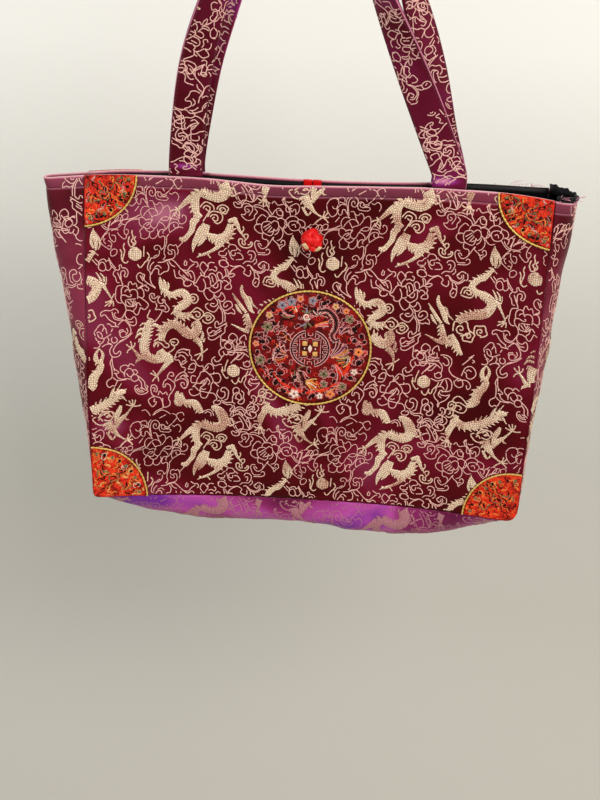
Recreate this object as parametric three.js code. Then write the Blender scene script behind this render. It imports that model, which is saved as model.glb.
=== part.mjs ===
import * as THREE from 'three';

// A brocade tote bag as it hangs by its two handles: two panels, two gussets and a
// base, each a shell, an interlining and a lining, with patches, a medallion and a
// knot button on the panels. Millimetres, +Z up, front towards -Y. The origin is the
// point that holds the bag up, under the tops of the two handle arches.

// Body of the bag, as cut
const panelWidth = 400;
const panelHeight = 305;
const sideSeamX = panelWidth / 2;

// How far the panels stand from the middle plane while the bag hangs empty
const rimHalfGap = 9.5;
const leftRimHalfGap = 7;
const rightRimHalfGap = 21;
const bottomHalfGap = 22;
const cornerHalfDepth = 41.5;
const panelFlare = 1.2;
const seamFlare = 2.2;
const rimCurl = 6;
const bottomCurl = 2.4;

// How far the gussets fold outwards at the rim, and how the base hangs
const leftGussetFold = 38;
const rightGussetFold = 22;
const endSeamBow = 4;
const baseSag = 31;
const baseSagSpread = 3;

// How the rim hangs between and beyond the handles
const rimEndDroop = 3.5;
const rimMiddleSag = 2.2;
const foldDroop = 4;

// Cloth layers, from the outside in, and the least room between two pieces
const shellThickness = 0.7;
const interliningThickness = 1.0;
const liningThickness = 0.5;
const clearance = 0.3;
const seamRoom = 0.4;
const interliningTop = shellThickness + clearance;
const interliningUnder = interliningTop + interliningThickness;
const liningTop = interliningUnder + clearance;
const stackThickness = liningTop + liningThickness;
const hemDepth = 9;
const hemTaper = 4;

// Corner patches, medallion and their gold cords
const topPatchRadius = 44.5;
const bottomPatchRadius = 50.5;
const appliqueThickness = 0.6;
const patchCordDiameter = 2.2;
const medallionRadius = 53.5;
const medallionDrop = 150;
const medallionCordDiameter = 2.4;

// Knot button and the loop that goes over it
const buttonX = -1.4;
const buttonDrop = 45;
const buttonDiameter = 17;
const shankDiameter = 4;
const shankLength = 3;
const loopX = -4;
const loopStrandSpacing = 8;
const loopEyeDiameter = 23.5;
const loopLength = 72;
const loopStrandWidth = 5;
const loopStrandThickness = 3.4;

// Handles
const strapWidth = 29;
const strapThickness = 5;
const strapEndThickness = 3;
const strapTaper = 15;
const strapFabric = 0.8;
const strapSpacing = 224;
const strapX = strapSpacing / 2;
const strapTabDepth = 12;
const archGap = 3;
const archY = strapWidth / 2 + archGap / 2;
const archTop = 260;
const frontArch = { x: -20, radius: 32 };
const backArch = { x: -2, radius: 34 };

// Where each strap's middle line passes on its way up, as x over z above the rim
const frontLegs = {
  left: [[-109, 42], [-101, 95], [-86, 145], [-66, 195]],
  right: [[98, 42], [73.5, 95], [48.5, 148], [28, 195]],
};
const backLegs = {
  left: [[-107, 42], [-95, 95], [-76, 145], [-54, 195]],
  right: [[102, 42], [89, 95], [72.5, 147], [52, 195]],
};

const brocade = new THREE.MeshStandardMaterial({ color: '#7a1433', roughness: 0.5, metalness: 0.1 });
const baseBrocade = new THREE.MeshStandardMaterial({ color: '#a03a8c', roughness: 0.45, metalness: 0.1 });
const satin = new THREE.MeshStandardMaterial({ color: '#121214', roughness: 0.4, metalness: 0 });
const foam = new THREE.MeshStandardMaterial({ color: '#e6e0d2', roughness: 0.95, metalness: 0 });
const redBrocade = new THREE.MeshStandardMaterial({ color: '#b8301a', roughness: 0.5, metalness: 0.1 });
const goldCord = new THREE.MeshStandardMaterial({ color: '#c9a24a', roughness: 0.35, metalness: 0.6 });
const redSatin = new THREE.MeshStandardMaterial({ color: '#d3182c', roughness: 0.35, metalness: 0 });

const bag = new THREE.Group();

function addPiece(name, geometry, material) {
  const mesh = new THREE.Mesh(geometry, material);
  mesh.name = name;
  bag.add(mesh);
}

const mix = (from, to, share) => from + (to - from) * share;
const smooth = (share) => share * share * (3 - 2 * share);
const within = (share) => Math.min(Math.max(share, 0), 1);

// Half the depth of the bag at a side seam. The fall w is 0 at the rim and 1 at the base.
function seamHalfDepth(side, w) {
  const atRim = side < 0 ? leftRimHalfGap : rightRimHalfGap;
  return mix(atRim, cornerHalfDepth, 1 - (1 - within(w)) ** seamFlare);
}

// A panel's distance from the middle plane. It hangs flat and curls forward to the seams.
function halfDepth(x, w) {
  const middle = mix(rimHalfGap, bottomHalfGap, within(w) ** panelFlare);
  const curl = Math.abs(x / sideSeamX) ** mix(rimCurl, bottomCurl, w);
  return mix(middle, seamHalfDepth(x, w), curl);
}

// The rim dips between the straps and droops beyond them.
function rimHeight(x) {
  const beyond = Math.abs(x / sideSeamX) ** rimCurl;
  const between = Math.abs(x) < strapX ? Math.cos((Math.PI * x) / strapSpacing) ** 2 : 0;
  return -rimEndDroop * beyond - rimMiddleSag * between;
}

function heightAt(x, w) {
  return -panelHeight * w + (1 - w) ** 2 * rimHeight(x);
}

// A point on a fold that bulges out from a chord of half-width d by b, at s from -1 to 1
// along its length: two straight arms and a half circle, or a shallow arc.
function foldPoint(d, b, s) {
  if (b < d) {
    const radius = (d * d + b * b) / (2 * b);
    const angle = s * Math.asin(d / radius);
    return { across: radius * Math.sin(angle), out: radius * Math.cos(angle) - radius + b };
  }
  const arm = b - d;
  const along = Math.abs(s) * (arm + (Math.PI * d) / 2);
  const half = (Math.PI * d) / 2;
  if (along > half) {
    return { across: Math.sign(s) * d, out: arm - (along - half) };
  }
  return { across: Math.sign(s) * d * Math.sin(along / d), out: arm + d * Math.cos(along / d) };
}

// How sharply a fold turns away from the cloth that it is sewn to, in radians
const foldTurn = (d, b) => (b < d ? Math.PI / 2 - 2 * Math.atan(b / d) : 0);

const gussetFold = (side, w) => mix(side < 0 ? leftGussetFold : rightGussetFold, endSeamBow, w);

function panelPoint(front) {
  return (x, w) => new THREE.Vector3(x, front ? -halfDepth(x, w) : halfDepth(x, w), heightAt(x, w));
}

function gussetPoint(side) {
  return (s, w) => {
    const fold = gussetFold(side, w);
    const { across, out } = foldPoint(seamHalfDepth(side, w), fold, s);
    const droop = foldDroop * (1 - w) ** 2 + endSeamBow * w ** 4;
    const z = heightAt(sideSeamX, w) - (droop * out) / fold;
    return new THREE.Vector3(side * (sideSeamX + out), across, z);
  };
}

const troughDepth = (x) => mix(baseSag, endSeamBow, Math.abs(x / sideSeamX) ** baseSagSpread);

// The base runs from end to end (u from -1 to 1) and from the front seam to the back seam.
function basePoint(u, s) {
  const end = foldPoint(cornerHalfDepth, endSeamBow, s);
  const x = u * sideSeamX;
  const { across, out } = foldPoint(halfDepth(x, 1), troughDepth(x), s);
  return new THREE.Vector3(u * (sideSeamX + end.out), across, -panelHeight - out);
}

// A slab of cloth between two depths under a surface. The grid gives the columns and rows
// as shares of its domain, and domain() turns them into the surface's own coordinates,
// drawn in at the seams by the depth, so that neighbours meet in a mitre.
function clothSlab({ point, domain, columns, rows, top, under, outward }) {
  const positions = [];
  const faces = [];
  const stepA = 1e-3 * (columns[columns.length - 1] - columns[0]);
  const stepB = 1e-3;
  const wide = rows.length;
  const count = columns.length * wide;
  for (const onTop of [true, false]) {
    for (const column of columns) {
      for (const row of rows) {
        const depth = onTop ? top : under(column, row);
        const [a, b] = domain(column, row, depth);
        const at = point(a, b);
        const alongA = point(a + stepA, b).sub(point(a - stepA, b));
        const alongB = point(a, b + stepB).sub(point(a, b - stepB));
        const normal = alongA.cross(alongB).normalize().multiplyScalar(outward);
        positions.push(...at.addScaledVector(normal, -depth).toArray());
      }
    }
  }
  const quad = (p, q, r, t) => faces.push(p, q, r, p, r, t);
  const at = (i, j, layer) => layer * count + i * wide + j;
  const lastI = columns.length - 1;
  const lastJ = rows.length - 1;
  for (let i = 0; i < lastI; i += 1) {
    for (let j = 0; j < lastJ; j += 1) {
      quad(at(i, j, 0), at(i + 1, j, 0), at(i + 1, j + 1, 0), at(i, j + 1, 0));
      quad(at(i, j, 1), at(i, j + 1, 1), at(i + 1, j + 1, 1), at(i + 1, j, 1));
    }
    quad(at(i, 0, 0), at(i, 0, 1), at(i + 1, 0, 1), at(i + 1, 0, 0));
    quad(at(i, lastJ, 0), at(i + 1, lastJ, 0), at(i + 1, lastJ, 1), at(i, lastJ, 1));
  }
  for (let j = 0; j < lastJ; j += 1) {
    quad(at(0, j, 0), at(0, j + 1, 0), at(0, j + 1, 1), at(0, j, 1));
    quad(at(lastI, j, 0), at(lastI, j, 1), at(lastI, j + 1, 1), at(lastI, j + 1, 0));
  }
  if (outward < 0) {
    faces.reverse();
  }
  const geometry = new THREE.BufferGeometry();
  geometry.setAttribute('position', new THREE.Float32BufferAttribute(positions, 3));
  geometry.setIndex(faces);
  geometry.computeVertexNormals();
  return geometry;
}

const evenly = (from, to, parts) => Array.from({ length: parts + 1 }, (_, i) => mix(from, to, i / parts));
const mitre = (turn, depth) => seamRoom / 2 + depth * Math.tan(turn / 2);

// How far each edge of a panel, a gusset or the base is drawn in, at a depth
const curlSlope = (side, w) => {
  const near = side * (sideSeamX - 1);
  return Math.atan(halfDepth(side * sideSeamX, w) - halfDepth(near, w));
};
const sideTurn = (side, w) =>
  Math.max(0, foldTurn(seamHalfDepth(side, w), gussetFold(side, w)) + curlSlope(side, w));
const baseTurn = (x) => foldTurn(halfDepth(x, 1), troughDepth(x));
const endSlope = Math.atan(((baseSag - endSeamBow) * baseSagSpread) / sideSeamX);
const endTurn = (s) => Math.PI / 2 - endSlope * (1 - s * s);

// A panel's columns lie close together where it curls, and beside each strap end.
const tabEdge = strapWidth / 2 + clearance;
const tabStep = 4;
const curlColumns = [0.76, 0.85, 0.93, 1].map((share) => share * sideSeamX);
const halfColumns = [strapX * 0.4, strapX - tabEdge - tabStep, strapX - tabEdge, strapX + tabEdge,
  strapX + tabEdge + tabStep, ...curlColumns];
const panelColumns = [...halfColumns.map((x) => -x).reverse(), 0, ...halfColumns];
const innerColumns = panelColumns.filter((x) => Math.abs(Math.abs(x) - strapX) !== tabEdge);
const hemRows = [0, hemDepth, hemDepth + hemTaper];
const bodyRows = [0.15, 0.31, 0.49, 0.67, 0.84, 1].map((share) => share * panelHeight);
const acrossLines = [-1, -0.6, -0.3, -0.13, 0, 0.13, 0.3, 0.6, 1];
const interliningRow = hemDepth + hemTaper + clearance;

function panelDomain(column, row, depth) {
  const w = row / panelHeight;
  const side = Math.sign(column);
  const share = Math.abs(column / sideSeamX);
  const x = column - (side ? side * share * mitre(sideTurn(side, w), depth) : 0);
  return [x, w * (1 - mitre(baseTurn(x), depth) / panelHeight)];
}

function gussetDomain(side) {
  return (column, row, depth) => {
    const w = row / panelHeight;
    const { across } = foldPoint(seamHalfDepth(side, w), gussetFold(side, w), 1);
    const s = column * (1 - mitre(sideTurn(side, w), depth) / Math.max(across, gussetFold(side, w)));
    return [s, w * (1 - mitre(endTurn(s), depth) / panelHeight)];
  };
}

function baseDomain(column, row, depth) {
  const u = column * (1 - mitre(endTurn(row), depth) / sideSeamX);
  const x = u * sideSeamX;
  const s = row * (1 - mitre(baseTurn(x), depth) / Math.max(halfDepth(x, 1), troughDepth(x)));
  return [u, s];
}

// The hem is turned in, so the shell is thicker along the rim, except at the strap ends.
function shellUnder(column, row) {
  const clearOfTab = Math.abs(Math.abs(column) - strapX) > tabEdge + tabStep / 2;
  return row <= hemDepth && clearOfTab ? interliningUnder : shellThickness;
}

function addLayers(name, { point, domain, columns, inner, rows, outward, shellMaterial, hemmed }) {
  const shell = hemmed ? shellUnder : () => shellThickness;
  const top = hemmed ? [interliningRow, ...rows.slice(hemRows.length)] : rows;
  const make = (layerColumns, layerRows, topDepth, under) =>
    clothSlab({ point, domain, columns: layerColumns, rows: layerRows, top: topDepth, under, outward });
  addPiece(name, make(columns, rows, 0, shell), shellMaterial);
  addPiece(`${name}_interlining`, make(inner, top, interliningTop, () => interliningUnder), foam);
  addPiece(`${name}_lining`, make(inner, rows, liningTop, () => stackThickness), satin);
}

for (const front of [true, false]) {
  addLayers(front ? 'front_panel' : 'back_panel', {
    point: panelPoint(front),
    domain: panelDomain,
    columns: panelColumns,
    inner: innerColumns,
    rows: [...hemRows, ...bodyRows],
    outward: front ? -1 : 1,
    shellMaterial: brocade,
    hemmed: true,
  });
}

for (const side of [-1, 1]) {
  addLayers(side < 0 ? 'left_gusset' : 'right_gusset', {
    point: gussetPoint(side),
    domain: gussetDomain(side),
    columns: acrossLines,
    inner: acrossLines,
    rows: [...hemRows, ...bodyRows],
    outward: -side,
    shellMaterial: brocade,
    hemmed: true,
  });
}

const baseColumns = innerColumns.map((x) => x / sideSeamX);
addLayers('base_panel', {
  point: basePoint,
  domain: baseDomain,
  columns: baseColumns,
  inner: baseColumns,
  rows: acrossLines,
  outward: -1,
  shellMaterial: baseBrocade,
  hemmed: false,
});

// Strap ends, caught between the shell and the lining where the hem is left open
for (const front of [true, false]) {
  for (const side of [-1, 1]) {
    const middle = side * strapX;
    const geometry = clothSlab({
      point: panelPoint(front),
      domain: panelDomain,
      columns: evenly(middle - strapWidth / 2, middle + strapWidth / 2, 2),
      rows: [clearance, strapTabDepth],
      top: interliningTop,
      under: () => interliningUnder,
      outward: front ? -1 : 1,
    });
    addPiece(`${front ? 'front' : 'back'}_handle_${side < 0 ? 'left' : 'right'}_end`, geometry, brocade);
  }
}

// Applied pieces lie on a panel, and their gold cords run round them.
const overPanel = -clearance;
const overApplique = -clearance - appliqueThickness;

// It is cut as part of a disc of a given radius about a place x, drop on the panel.
function addApplique(name, { front, x, drop, radius, columns, rows }) {
  const geometry = clothSlab({
    point: panelPoint(front),
    domain: (a, b) => [
      x + radius * a * Math.sqrt(1 - (b * b) / 2),
      (drop + radius * b * Math.sqrt(1 - (a * a) / 2)) / panelHeight,
    ],
    columns,
    rows,
    top: overApplique,
    under: () => overPanel,
    outward: front ? -1 : 1,
  });
  addPiece(name, geometry, redBrocade);
}

// A body swept along stations, each with a place and two directions across the path.
// ring(i) gives the section there as pairs, and bore(i) the section of an open bore.
function sweep({ stations, ring, bore, closed }) {
  const positions = [];
  const faces = [];
  const sides = ring(0).length;
  const layers = bore ? [ring, bore] : [ring];
  for (const layer of layers) {
    stations.forEach(({ at, across, up }, i) => {
      for (const [a, b] of layer(i)) {
        positions.push(...at.clone().addScaledVector(across, a).addScaledVector(up, b).toArray());
      }
    });
  }
  const count = stations.length * sides;
  const corner = (layer, i, k) => layer * count + (i % stations.length) * sides + (k % sides);
  const quad = (p, q, r, t) => faces.push(p, q, r, p, r, t);
  const last = closed ? stations.length : stations.length - 1;
  for (let i = 0; i < last; i += 1) {
    for (let k = 0; k < sides; k += 1) {
      quad(corner(0, i, k), corner(0, i, k + 1), corner(0, i + 1, k + 1), corner(0, i + 1, k));
      if (bore) {
        quad(corner(1, i, k), corner(1, i + 1, k), corner(1, i + 1, k + 1), corner(1, i, k + 1));
      }
    }
  }
  if (!closed) {
    for (let k = 0; k < sides; k += 1) {
      if (bore) {
        quad(corner(0, 0, k), corner(1, 0, k), corner(1, 0, k + 1), corner(0, 0, k + 1));
        quad(corner(0, last, k), corner(0, last, k + 1), corner(1, last, k + 1), corner(1, last, k));
      } else if (k > 1) {
        faces.push(corner(0, 0, 0), corner(0, 0, k), corner(0, 0, k - 1));
        faces.push(corner(0, last, 0), corner(0, last, k - 1), corner(0, last, k));
      }
    }
  }
  const geometry = new THREE.BufferGeometry();
  geometry.setAttribute('position', new THREE.Float32BufferAttribute(positions, 3));
  geometry.setIndex(faces);
  geometry.computeVertexNormals();
  return geometry;
}

// Corners of a round section, anticlockwise as seen against the path
const roundRing = (radiusA, radiusB, sides) =>
  Array.from({ length: sides }, (_, k) => {
    const turn = (2 * Math.PI * k) / sides;
    return [radiusA * Math.cos(turn), radiusB * Math.sin(turn)];
  });

// A cord that lies on a panel along a line given as x and w over a share from 0 to 1
function addPanelCord(name, { front, line, steps, diameter, closed }) {
  const point = panelPoint(front);
  const lift = clearance + diameter / 2;
  const centre = (share) => {
    const [x, w] = line(share);
    const alongX = point(x + 0.1, w).sub(point(x - 0.1, w));
    const alongW = point(x, w + 1e-3).sub(point(x, w - 1e-3));
    const up = alongX.cross(alongW).normalize().multiplyScalar(front ? -1 : 1);
    return { at: point(x, w).addScaledVector(up, lift), up };
  };
  const shares = evenly(0, 1, steps).slice(0, closed ? -1 : undefined);
  const stations = shares.map((share) => {
    const { at, up } = centre(share);
    const along = centre(share + 1e-3).at.sub(centre(share - 1e-3).at).normalize();
    const across = new THREE.Vector3().crossVectors(up, along).normalize();
    return { at, across, up: new THREE.Vector3().crossVectors(along, across) };
  });
  const section = roundRing(diameter / 2, diameter / 2, 6);
  addPiece(name, sweep({ stations, ring: () => section, closed }), goldCord);
}

for (const front of [true, false]) {
  const face = front ? 'front' : 'back';
  for (const side of [-1, 1]) {
    for (const top of [true, false]) {
      const radius = top ? topPatchRadius : bottomPatchRadius;
      const x = side * (sideSeamX - seamRoom / 2);
      const drop = top ? 0 : panelHeight - seamRoom / 2;
      const name = `${face}_${top ? 'top' : 'bottom'}_${side < 0 ? 'left' : 'right'}_patch`;
      const columns = side < 0 ? evenly(0, 1, 4) : evenly(-1, 0, 4);
      const rows = top ? evenly(0, 1, 4) : evenly(-1, 0, 4);
      addApplique(name, { front, x, drop, radius, columns, rows });
      const cordRadius = radius + clearance + patchCordDiameter / 2;
      addPanelCord(`${name}_cord`, {
        front,
        line: (share) => {
          const turn = (share * Math.PI) / 2;
          const fall = (top ? 1 : -1) * cordRadius * Math.sin(turn);
          return [x - side * cordRadius * Math.cos(turn), (drop + fall) / panelHeight];
        },
        steps: 10,
        diameter: patchCordDiameter,
        closed: false,
      });
    }
  }
  const lines = evenly(-1, 1, 8);
  addApplique(`${face}_medallion`, {
    front,
    x: 0,
    drop: medallionDrop,
    radius: medallionRadius,
    columns: lines,
    rows: lines,
  });
  const ringRadius = medallionRadius + clearance + medallionCordDiameter / 2;
  addPanelCord(`${face}_medallion_cord`, {
    front,
    line: (share) => {
      const turn = share * 2 * Math.PI;
      return [ringRadius * Math.cos(turn), (medallionDrop + ringRadius * Math.sin(turn)) / panelHeight];
    },
    steps: 32,
    diameter: medallionCordDiameter,
    closed: true,
  });
}

// The knot button stands on a short shank in front of the panel. Its ball is pressed in
// along the lines where one strand of the knot goes under another.
const buttonFace = panelPoint(true)(buttonX, buttonDrop / panelHeight);
{
  const shank = new THREE.CylinderGeometry(shankDiameter / 2, shankDiameter / 2, shankLength, 12);
  shank.translate(0, -clearance - shankLength / 2, 0);
  shank.translate(buttonFace.x, buttonFace.y, buttonFace.z);
  addPiece('button_shank', shank, redSatin);

  const radius = buttonDiameter / 2;
  const ball = new THREE.SphereGeometry(radius, 16, 12);
  const groove = 0.09;
  const grooveWidth = 0.16;
  const strandLines = [[1, 0, 1], [1, 0, -1], [0, 1, 0.45], [0, 1, -0.45]].map((v) =>
    new THREE.Vector3(...v).normalize());
  const places = ball.getAttribute('position');
  const place = new THREE.Vector3();
  for (let i = 0; i < places.count; i += 1) {
    place.fromBufferAttribute(places, i);
    const direction = place.clone().normalize();
    const pressed = strandLines.map((line) => Math.exp(-((line.dot(direction) / grooveWidth) ** 2)));
    place.multiplyScalar(1 - groove * Math.max(...pressed));
    places.setXYZ(i, place.x, place.y, place.z);
  }
  const out = clearance + shankLength + clearance + radius;
  ball.translate(buttonFace.x, buttonFace.y - out, buttonFace.z);
  ball.computeVertexNormals();
  addPiece('knot_button', ball, redSatin);
}

// Stations at shares of a curve that keep one flat side towards a given direction, turned
// about the path by twist(share).
function flatStations(curve, shares, facing, twist) {
  return shares.map((share) => {
    const at = curve.getPointAt(share);
    const along = curve.getTangentAt(share);
    const up = facing.clone().addScaledVector(along, -facing.dot(along)).normalize();
    const turn = new THREE.Quaternion().setFromAxisAngle(along, twist(share));
    up.applyQuaternion(turn);
    const across = new THREE.Vector3().crossVectors(up, along).normalize();
    return { at, across, up };
  });
}

// The button loop hangs inside the mouth from the middle of the back rim.
{
  const y = rimHalfGap - stackThickness - clearance - loopStrandThickness / 2;
  const top = rimHeight(loopX) - clearance;
  const strand = loopStrandSpacing / 2;
  const eye = loopEyeDiameter / 2;
  const besideEye = [0.75, 0.5, 0.25].map((share) => {
    const turn = share * Math.PI;
    return [eye * Math.sin(turn), eye - loopLength - eye * Math.cos(turn)];
  });
  const half = [[strand, 0], [strand, -loopLength * 0.25], [strand, -loopLength * 0.5], ...besideEye];
  const down = half.map(([x, z]) => [-x, z]);
  const route = [...down, [0, -loopLength], ...[...half].reverse()];
  const curve = new THREE.CatmullRomCurve3(
    route.map(([x, z]) => new THREE.Vector3(loopX + x, y, top + z)), false, 'centripetal');
  const stations = flatStations(curve, evenly(0, 1, 32), new THREE.Vector3(0, -1, 0), () => 0);
  const section = roundRing(loopStrandWidth / 2, loopStrandThickness / 2, 8);
  addPiece('button_loop', sweep({ stations, ring: () => section, closed: false }), redSatin);
}

// The corners of a flat strap's section, cut off by the corner size
function strapRing(width, thickness, corner) {
  const a = width / 2;
  const b = thickness / 2;
  return [[a, -b + corner], [a, b - corner], [a - corner, b], [corner - a, b],
    [-a, b - corner], [-a, corner - b], [corner - a, -b], [a - corner, -b]];
}

// Each handle goes straight up from the rim, leans in, and turns flat over its arch. It is
// a flat tube of brocade with a soft core, pressed thin where it meets the rim.
const archSteps = [0, 0.25, 0.5, 0.75, 1];
const strapSteps = 30;
const strapRise = 9;
const strapCorner = 0.9;

// Shares along a strap: its two ends, and steps between the tapers that lie closer
// together over the arch.
const closeness = 0.45;
const strapShares = (taper) => [0, ...evenly(-1, 1, strapSteps).map((t) =>
  0.5 + (0.5 - taper) * t * (closeness + (1 - closeness) * t * t)), 1];

for (const front of [true, false]) {
  const outward = front ? -1 : 1;
  const arch = front ? frontArch : backArch;
  const legs = front ? frontLegs : backLegs;
  const rimY = rimHalfGap - strapEndThickness / 2;
  const place = (x, z) =>
    new THREE.Vector3(x, outward * mix(rimY, archY, smooth(z / archTop)), clearance + z);
  const overArch = archSteps.map((share) => {
    const turn = Math.PI * share;
    const rise = archTop - clearance - arch.radius * (1 - Math.sin(turn));
    return [arch.x - arch.radius * Math.cos(turn), rise];
  });
  const route = [[-strapX, 0], [-strapX, strapRise], ...legs.left, ...overArch,
    ...[...legs.right].reverse(), [strapX, strapRise], [strapX, 0]];
  const curve = new THREE.CatmullRomCurve3(route.map(([x, z]) => place(x, z)), false, 'centripetal');
  const facing = new THREE.Vector3(0, outward, 0);
  const twist = (share) => (Math.PI / 2) * smooth(1 - Math.abs(2 * share - 1)) * -outward;
  const shares = strapShares(strapTaper / curve.getLength());
  const stations = flatStations(curve, shares, facing, twist);
  const thickness = (i) => (i === 0 || i === shares.length - 1 ? strapEndThickness : strapThickness);
  const inCore = strapFabric + clearance;
  const name = front ? 'front_handle' : 'back_handle';
  addPiece(name, sweep({
    stations,
    ring: (i) => strapRing(strapWidth, thickness(i), strapCorner),
    bore: (i) => strapRing(strapWidth - 2 * strapFabric, thickness(i) - 2 * strapFabric, strapCorner / 2),
    closed: false,
  }), brocade);
  addPiece(`${name}_core`, sweep({
    stations,
    ring: (i) => strapRing(strapWidth - 2 * inCore, thickness(i) - 2 * inCore, strapCorner / 4),
    closed: false,
  }), foam);
}

// The bag is drawn with its rim at z = 0, and hangs from the point between the two arches.
const hangX = (frontArch.x + backArch.x) / 2;
const archRise = Math.sqrt(frontArch.radius ** 2 - (frontArch.x - hangX) ** 2);
const halfStrap = (strapThickness / 2) * (frontArch.radius / archRise);
const hangZ = archTop - frontArch.radius + archRise - halfStrap;
bag.position.set(-hangX, 0, -hangZ);

export default bag;
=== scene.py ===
# %% [markdown]
# # A brocade tote bag, hanging by its handles
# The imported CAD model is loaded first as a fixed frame. Each cloth layer is then drawn again
# with its folds and its woven figures, in metres, in the same place. The origin is the point
# that holds the bag up, under the tops of the two handle arches. Front is -Y and up is +Z.

# %% Load the frame
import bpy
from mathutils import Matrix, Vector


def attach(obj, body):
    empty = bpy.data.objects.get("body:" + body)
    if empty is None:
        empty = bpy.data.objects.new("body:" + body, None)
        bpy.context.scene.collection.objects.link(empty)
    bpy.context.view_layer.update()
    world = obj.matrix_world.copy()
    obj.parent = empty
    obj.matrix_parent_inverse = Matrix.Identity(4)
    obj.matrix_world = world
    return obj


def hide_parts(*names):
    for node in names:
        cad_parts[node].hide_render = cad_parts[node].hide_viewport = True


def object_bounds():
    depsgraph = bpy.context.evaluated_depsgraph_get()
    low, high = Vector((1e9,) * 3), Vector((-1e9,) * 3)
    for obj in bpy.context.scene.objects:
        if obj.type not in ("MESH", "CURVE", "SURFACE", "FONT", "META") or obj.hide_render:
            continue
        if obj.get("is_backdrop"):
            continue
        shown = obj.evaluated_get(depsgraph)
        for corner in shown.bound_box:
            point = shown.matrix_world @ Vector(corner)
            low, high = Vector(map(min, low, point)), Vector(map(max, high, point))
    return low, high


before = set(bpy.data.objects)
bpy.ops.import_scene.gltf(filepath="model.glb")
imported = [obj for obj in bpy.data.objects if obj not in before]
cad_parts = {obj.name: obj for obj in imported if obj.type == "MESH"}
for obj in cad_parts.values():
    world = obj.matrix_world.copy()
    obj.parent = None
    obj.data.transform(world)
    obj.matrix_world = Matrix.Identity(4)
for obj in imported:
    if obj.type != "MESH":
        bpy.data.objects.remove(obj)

# %% Tools, and the size of the CAD model, set beside the scene's size at the end
import math
import bpy
import numpy as np
from mathutils import Matrix, Vector

cad_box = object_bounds()
print("CAD box", cad_box)

# %% [markdown]
# ## Camera
# The photograph looks down at the bag from in front of it and above its rim. The camera's
# place, tilt and focal length were worked out from the bag's corners and rim.

# %% The camera
MM = 0.001
HANG_X, HANG_Z = -11.0, 256.1     # the hang point over the middle of the rim, in mm
CAMERA_PLACE = (37, -918, 233)    # in mm from the middle of the rim
SENSOR_HEIGHT = 24                # in mm, chosen freely
FOCAL_LENGTH, PHOTO_HEIGHT = 1084, 800     # in pixels of the photograph


def frame_place(x, y, z):
    """A place given in mm from the middle of the rim, in the frame's metres."""
    return Vector(((x - HANG_X) * MM, y * MM, (z - HANG_Z) * MM))


pitch, yaw, roll = math.radians(25.74), math.radians(-2.82), math.radians(1.94)
forward = Vector((math.sin(yaw) * math.cos(pitch), math.cos(yaw) * math.cos(pitch), -math.sin(pitch)))
level_right = Vector((math.cos(yaw), -math.sin(yaw), 0))
level_up = level_right.cross(forward)
right = math.cos(roll) * level_right + math.sin(roll) * level_up
up = -math.sin(roll) * level_right + math.cos(roll) * level_up
camera_data = bpy.data.cameras.new("camera")
camera_data.sensor_fit = "VERTICAL"
camera_data.sensor_height = SENSOR_HEIGHT
camera_data.lens = SENSOR_HEIGHT * FOCAL_LENGTH / PHOTO_HEIGHT
camera_data.clip_start = 0.01
camera = bpy.data.objects.new("camera", camera_data)
bpy.context.scene.collection.objects.link(camera)
turn = Matrix((right, up, -forward)).transposed()
camera.matrix_world = Matrix.Translation(frame_place(*CAMERA_PLACE)) @ turn.to_4x4()
bpy.context.scene.camera = camera
print("camera at", [round(v, 3) for v in camera.location], "lens", round(camera_data.lens, 2))

# %% [markdown]
# ## Backdrop and light
# A pale wall and floor in one sweep, a broad soft lamp from the left like a window, and an
# even pale sky. The lamps stay at a level at which a colour looks about as it is written.


# %% Colour, node and material helpers
def linear(code):
    """An sRGB colour such as "#7a1433" as the linear values that a shader wants."""
    channels = [int(code[i:i + 2], 16) / 255 for i in (1, 3, 5)]
    return [c / 12.92 if c <= 0.04045 else ((c + 0.055) / 1.055) ** 2.4 for c in channels] + [1.0]


def node(tree, kind, settings=None, **inputs):
    """Adds a node with its settings. A socket takes a value, or links from another socket.

    A socket is named with underscores for spaces, or i and its number where names repeat.
    """
    new = tree.nodes.new(kind)
    for key, value in (settings or {}).items():
        setattr(new, key, value)
    for key, value in inputs.items():
        numbered = key[0] == "i" and key[1:].isdigit()
        socket = new.inputs[int(key[1:]) if numbered else key.replace("_", " ")]
        if isinstance(value, bpy.types.NodeSocket):
            tree.links.new(value, socket)
        else:
            socket.default_value = value
    return new


def new_material(name):
    """A material with its principled shader and output, ready for more nodes."""
    made = bpy.data.materials.new(name)
    made.use_nodes = True
    return made, made.node_tree, made.node_tree.nodes["Principled BSDF"]


def set_shader(tree, shader, colour, **values):
    """Links a colour to the shader and sets its other inputs, named with underscores."""
    tree.links.new(colour, shader.inputs["Base Color"])
    for key, value in values.items():
        shader.inputs[key.replace("_", " ")].default_value = value


def ramp(tree, value, stops):
    """A colour ramp between stops of (place, colour)."""
    made = node(tree, "ShaderNodeValToRGB", Fac=value)
    elements = made.color_ramp.elements
    for end in (0, -1):
        elements[end].position = stops[end][0]
        elements[end].color = linear(stops[end][1])
    for position, colour in stops[1:-1]:
        elements.new(position).color = linear(colour)
    return made.outputs["Color"]


print("crimson #7a1433 as a shader wants it", [round(value, 3) for value in linear("#7a1433")])

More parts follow.
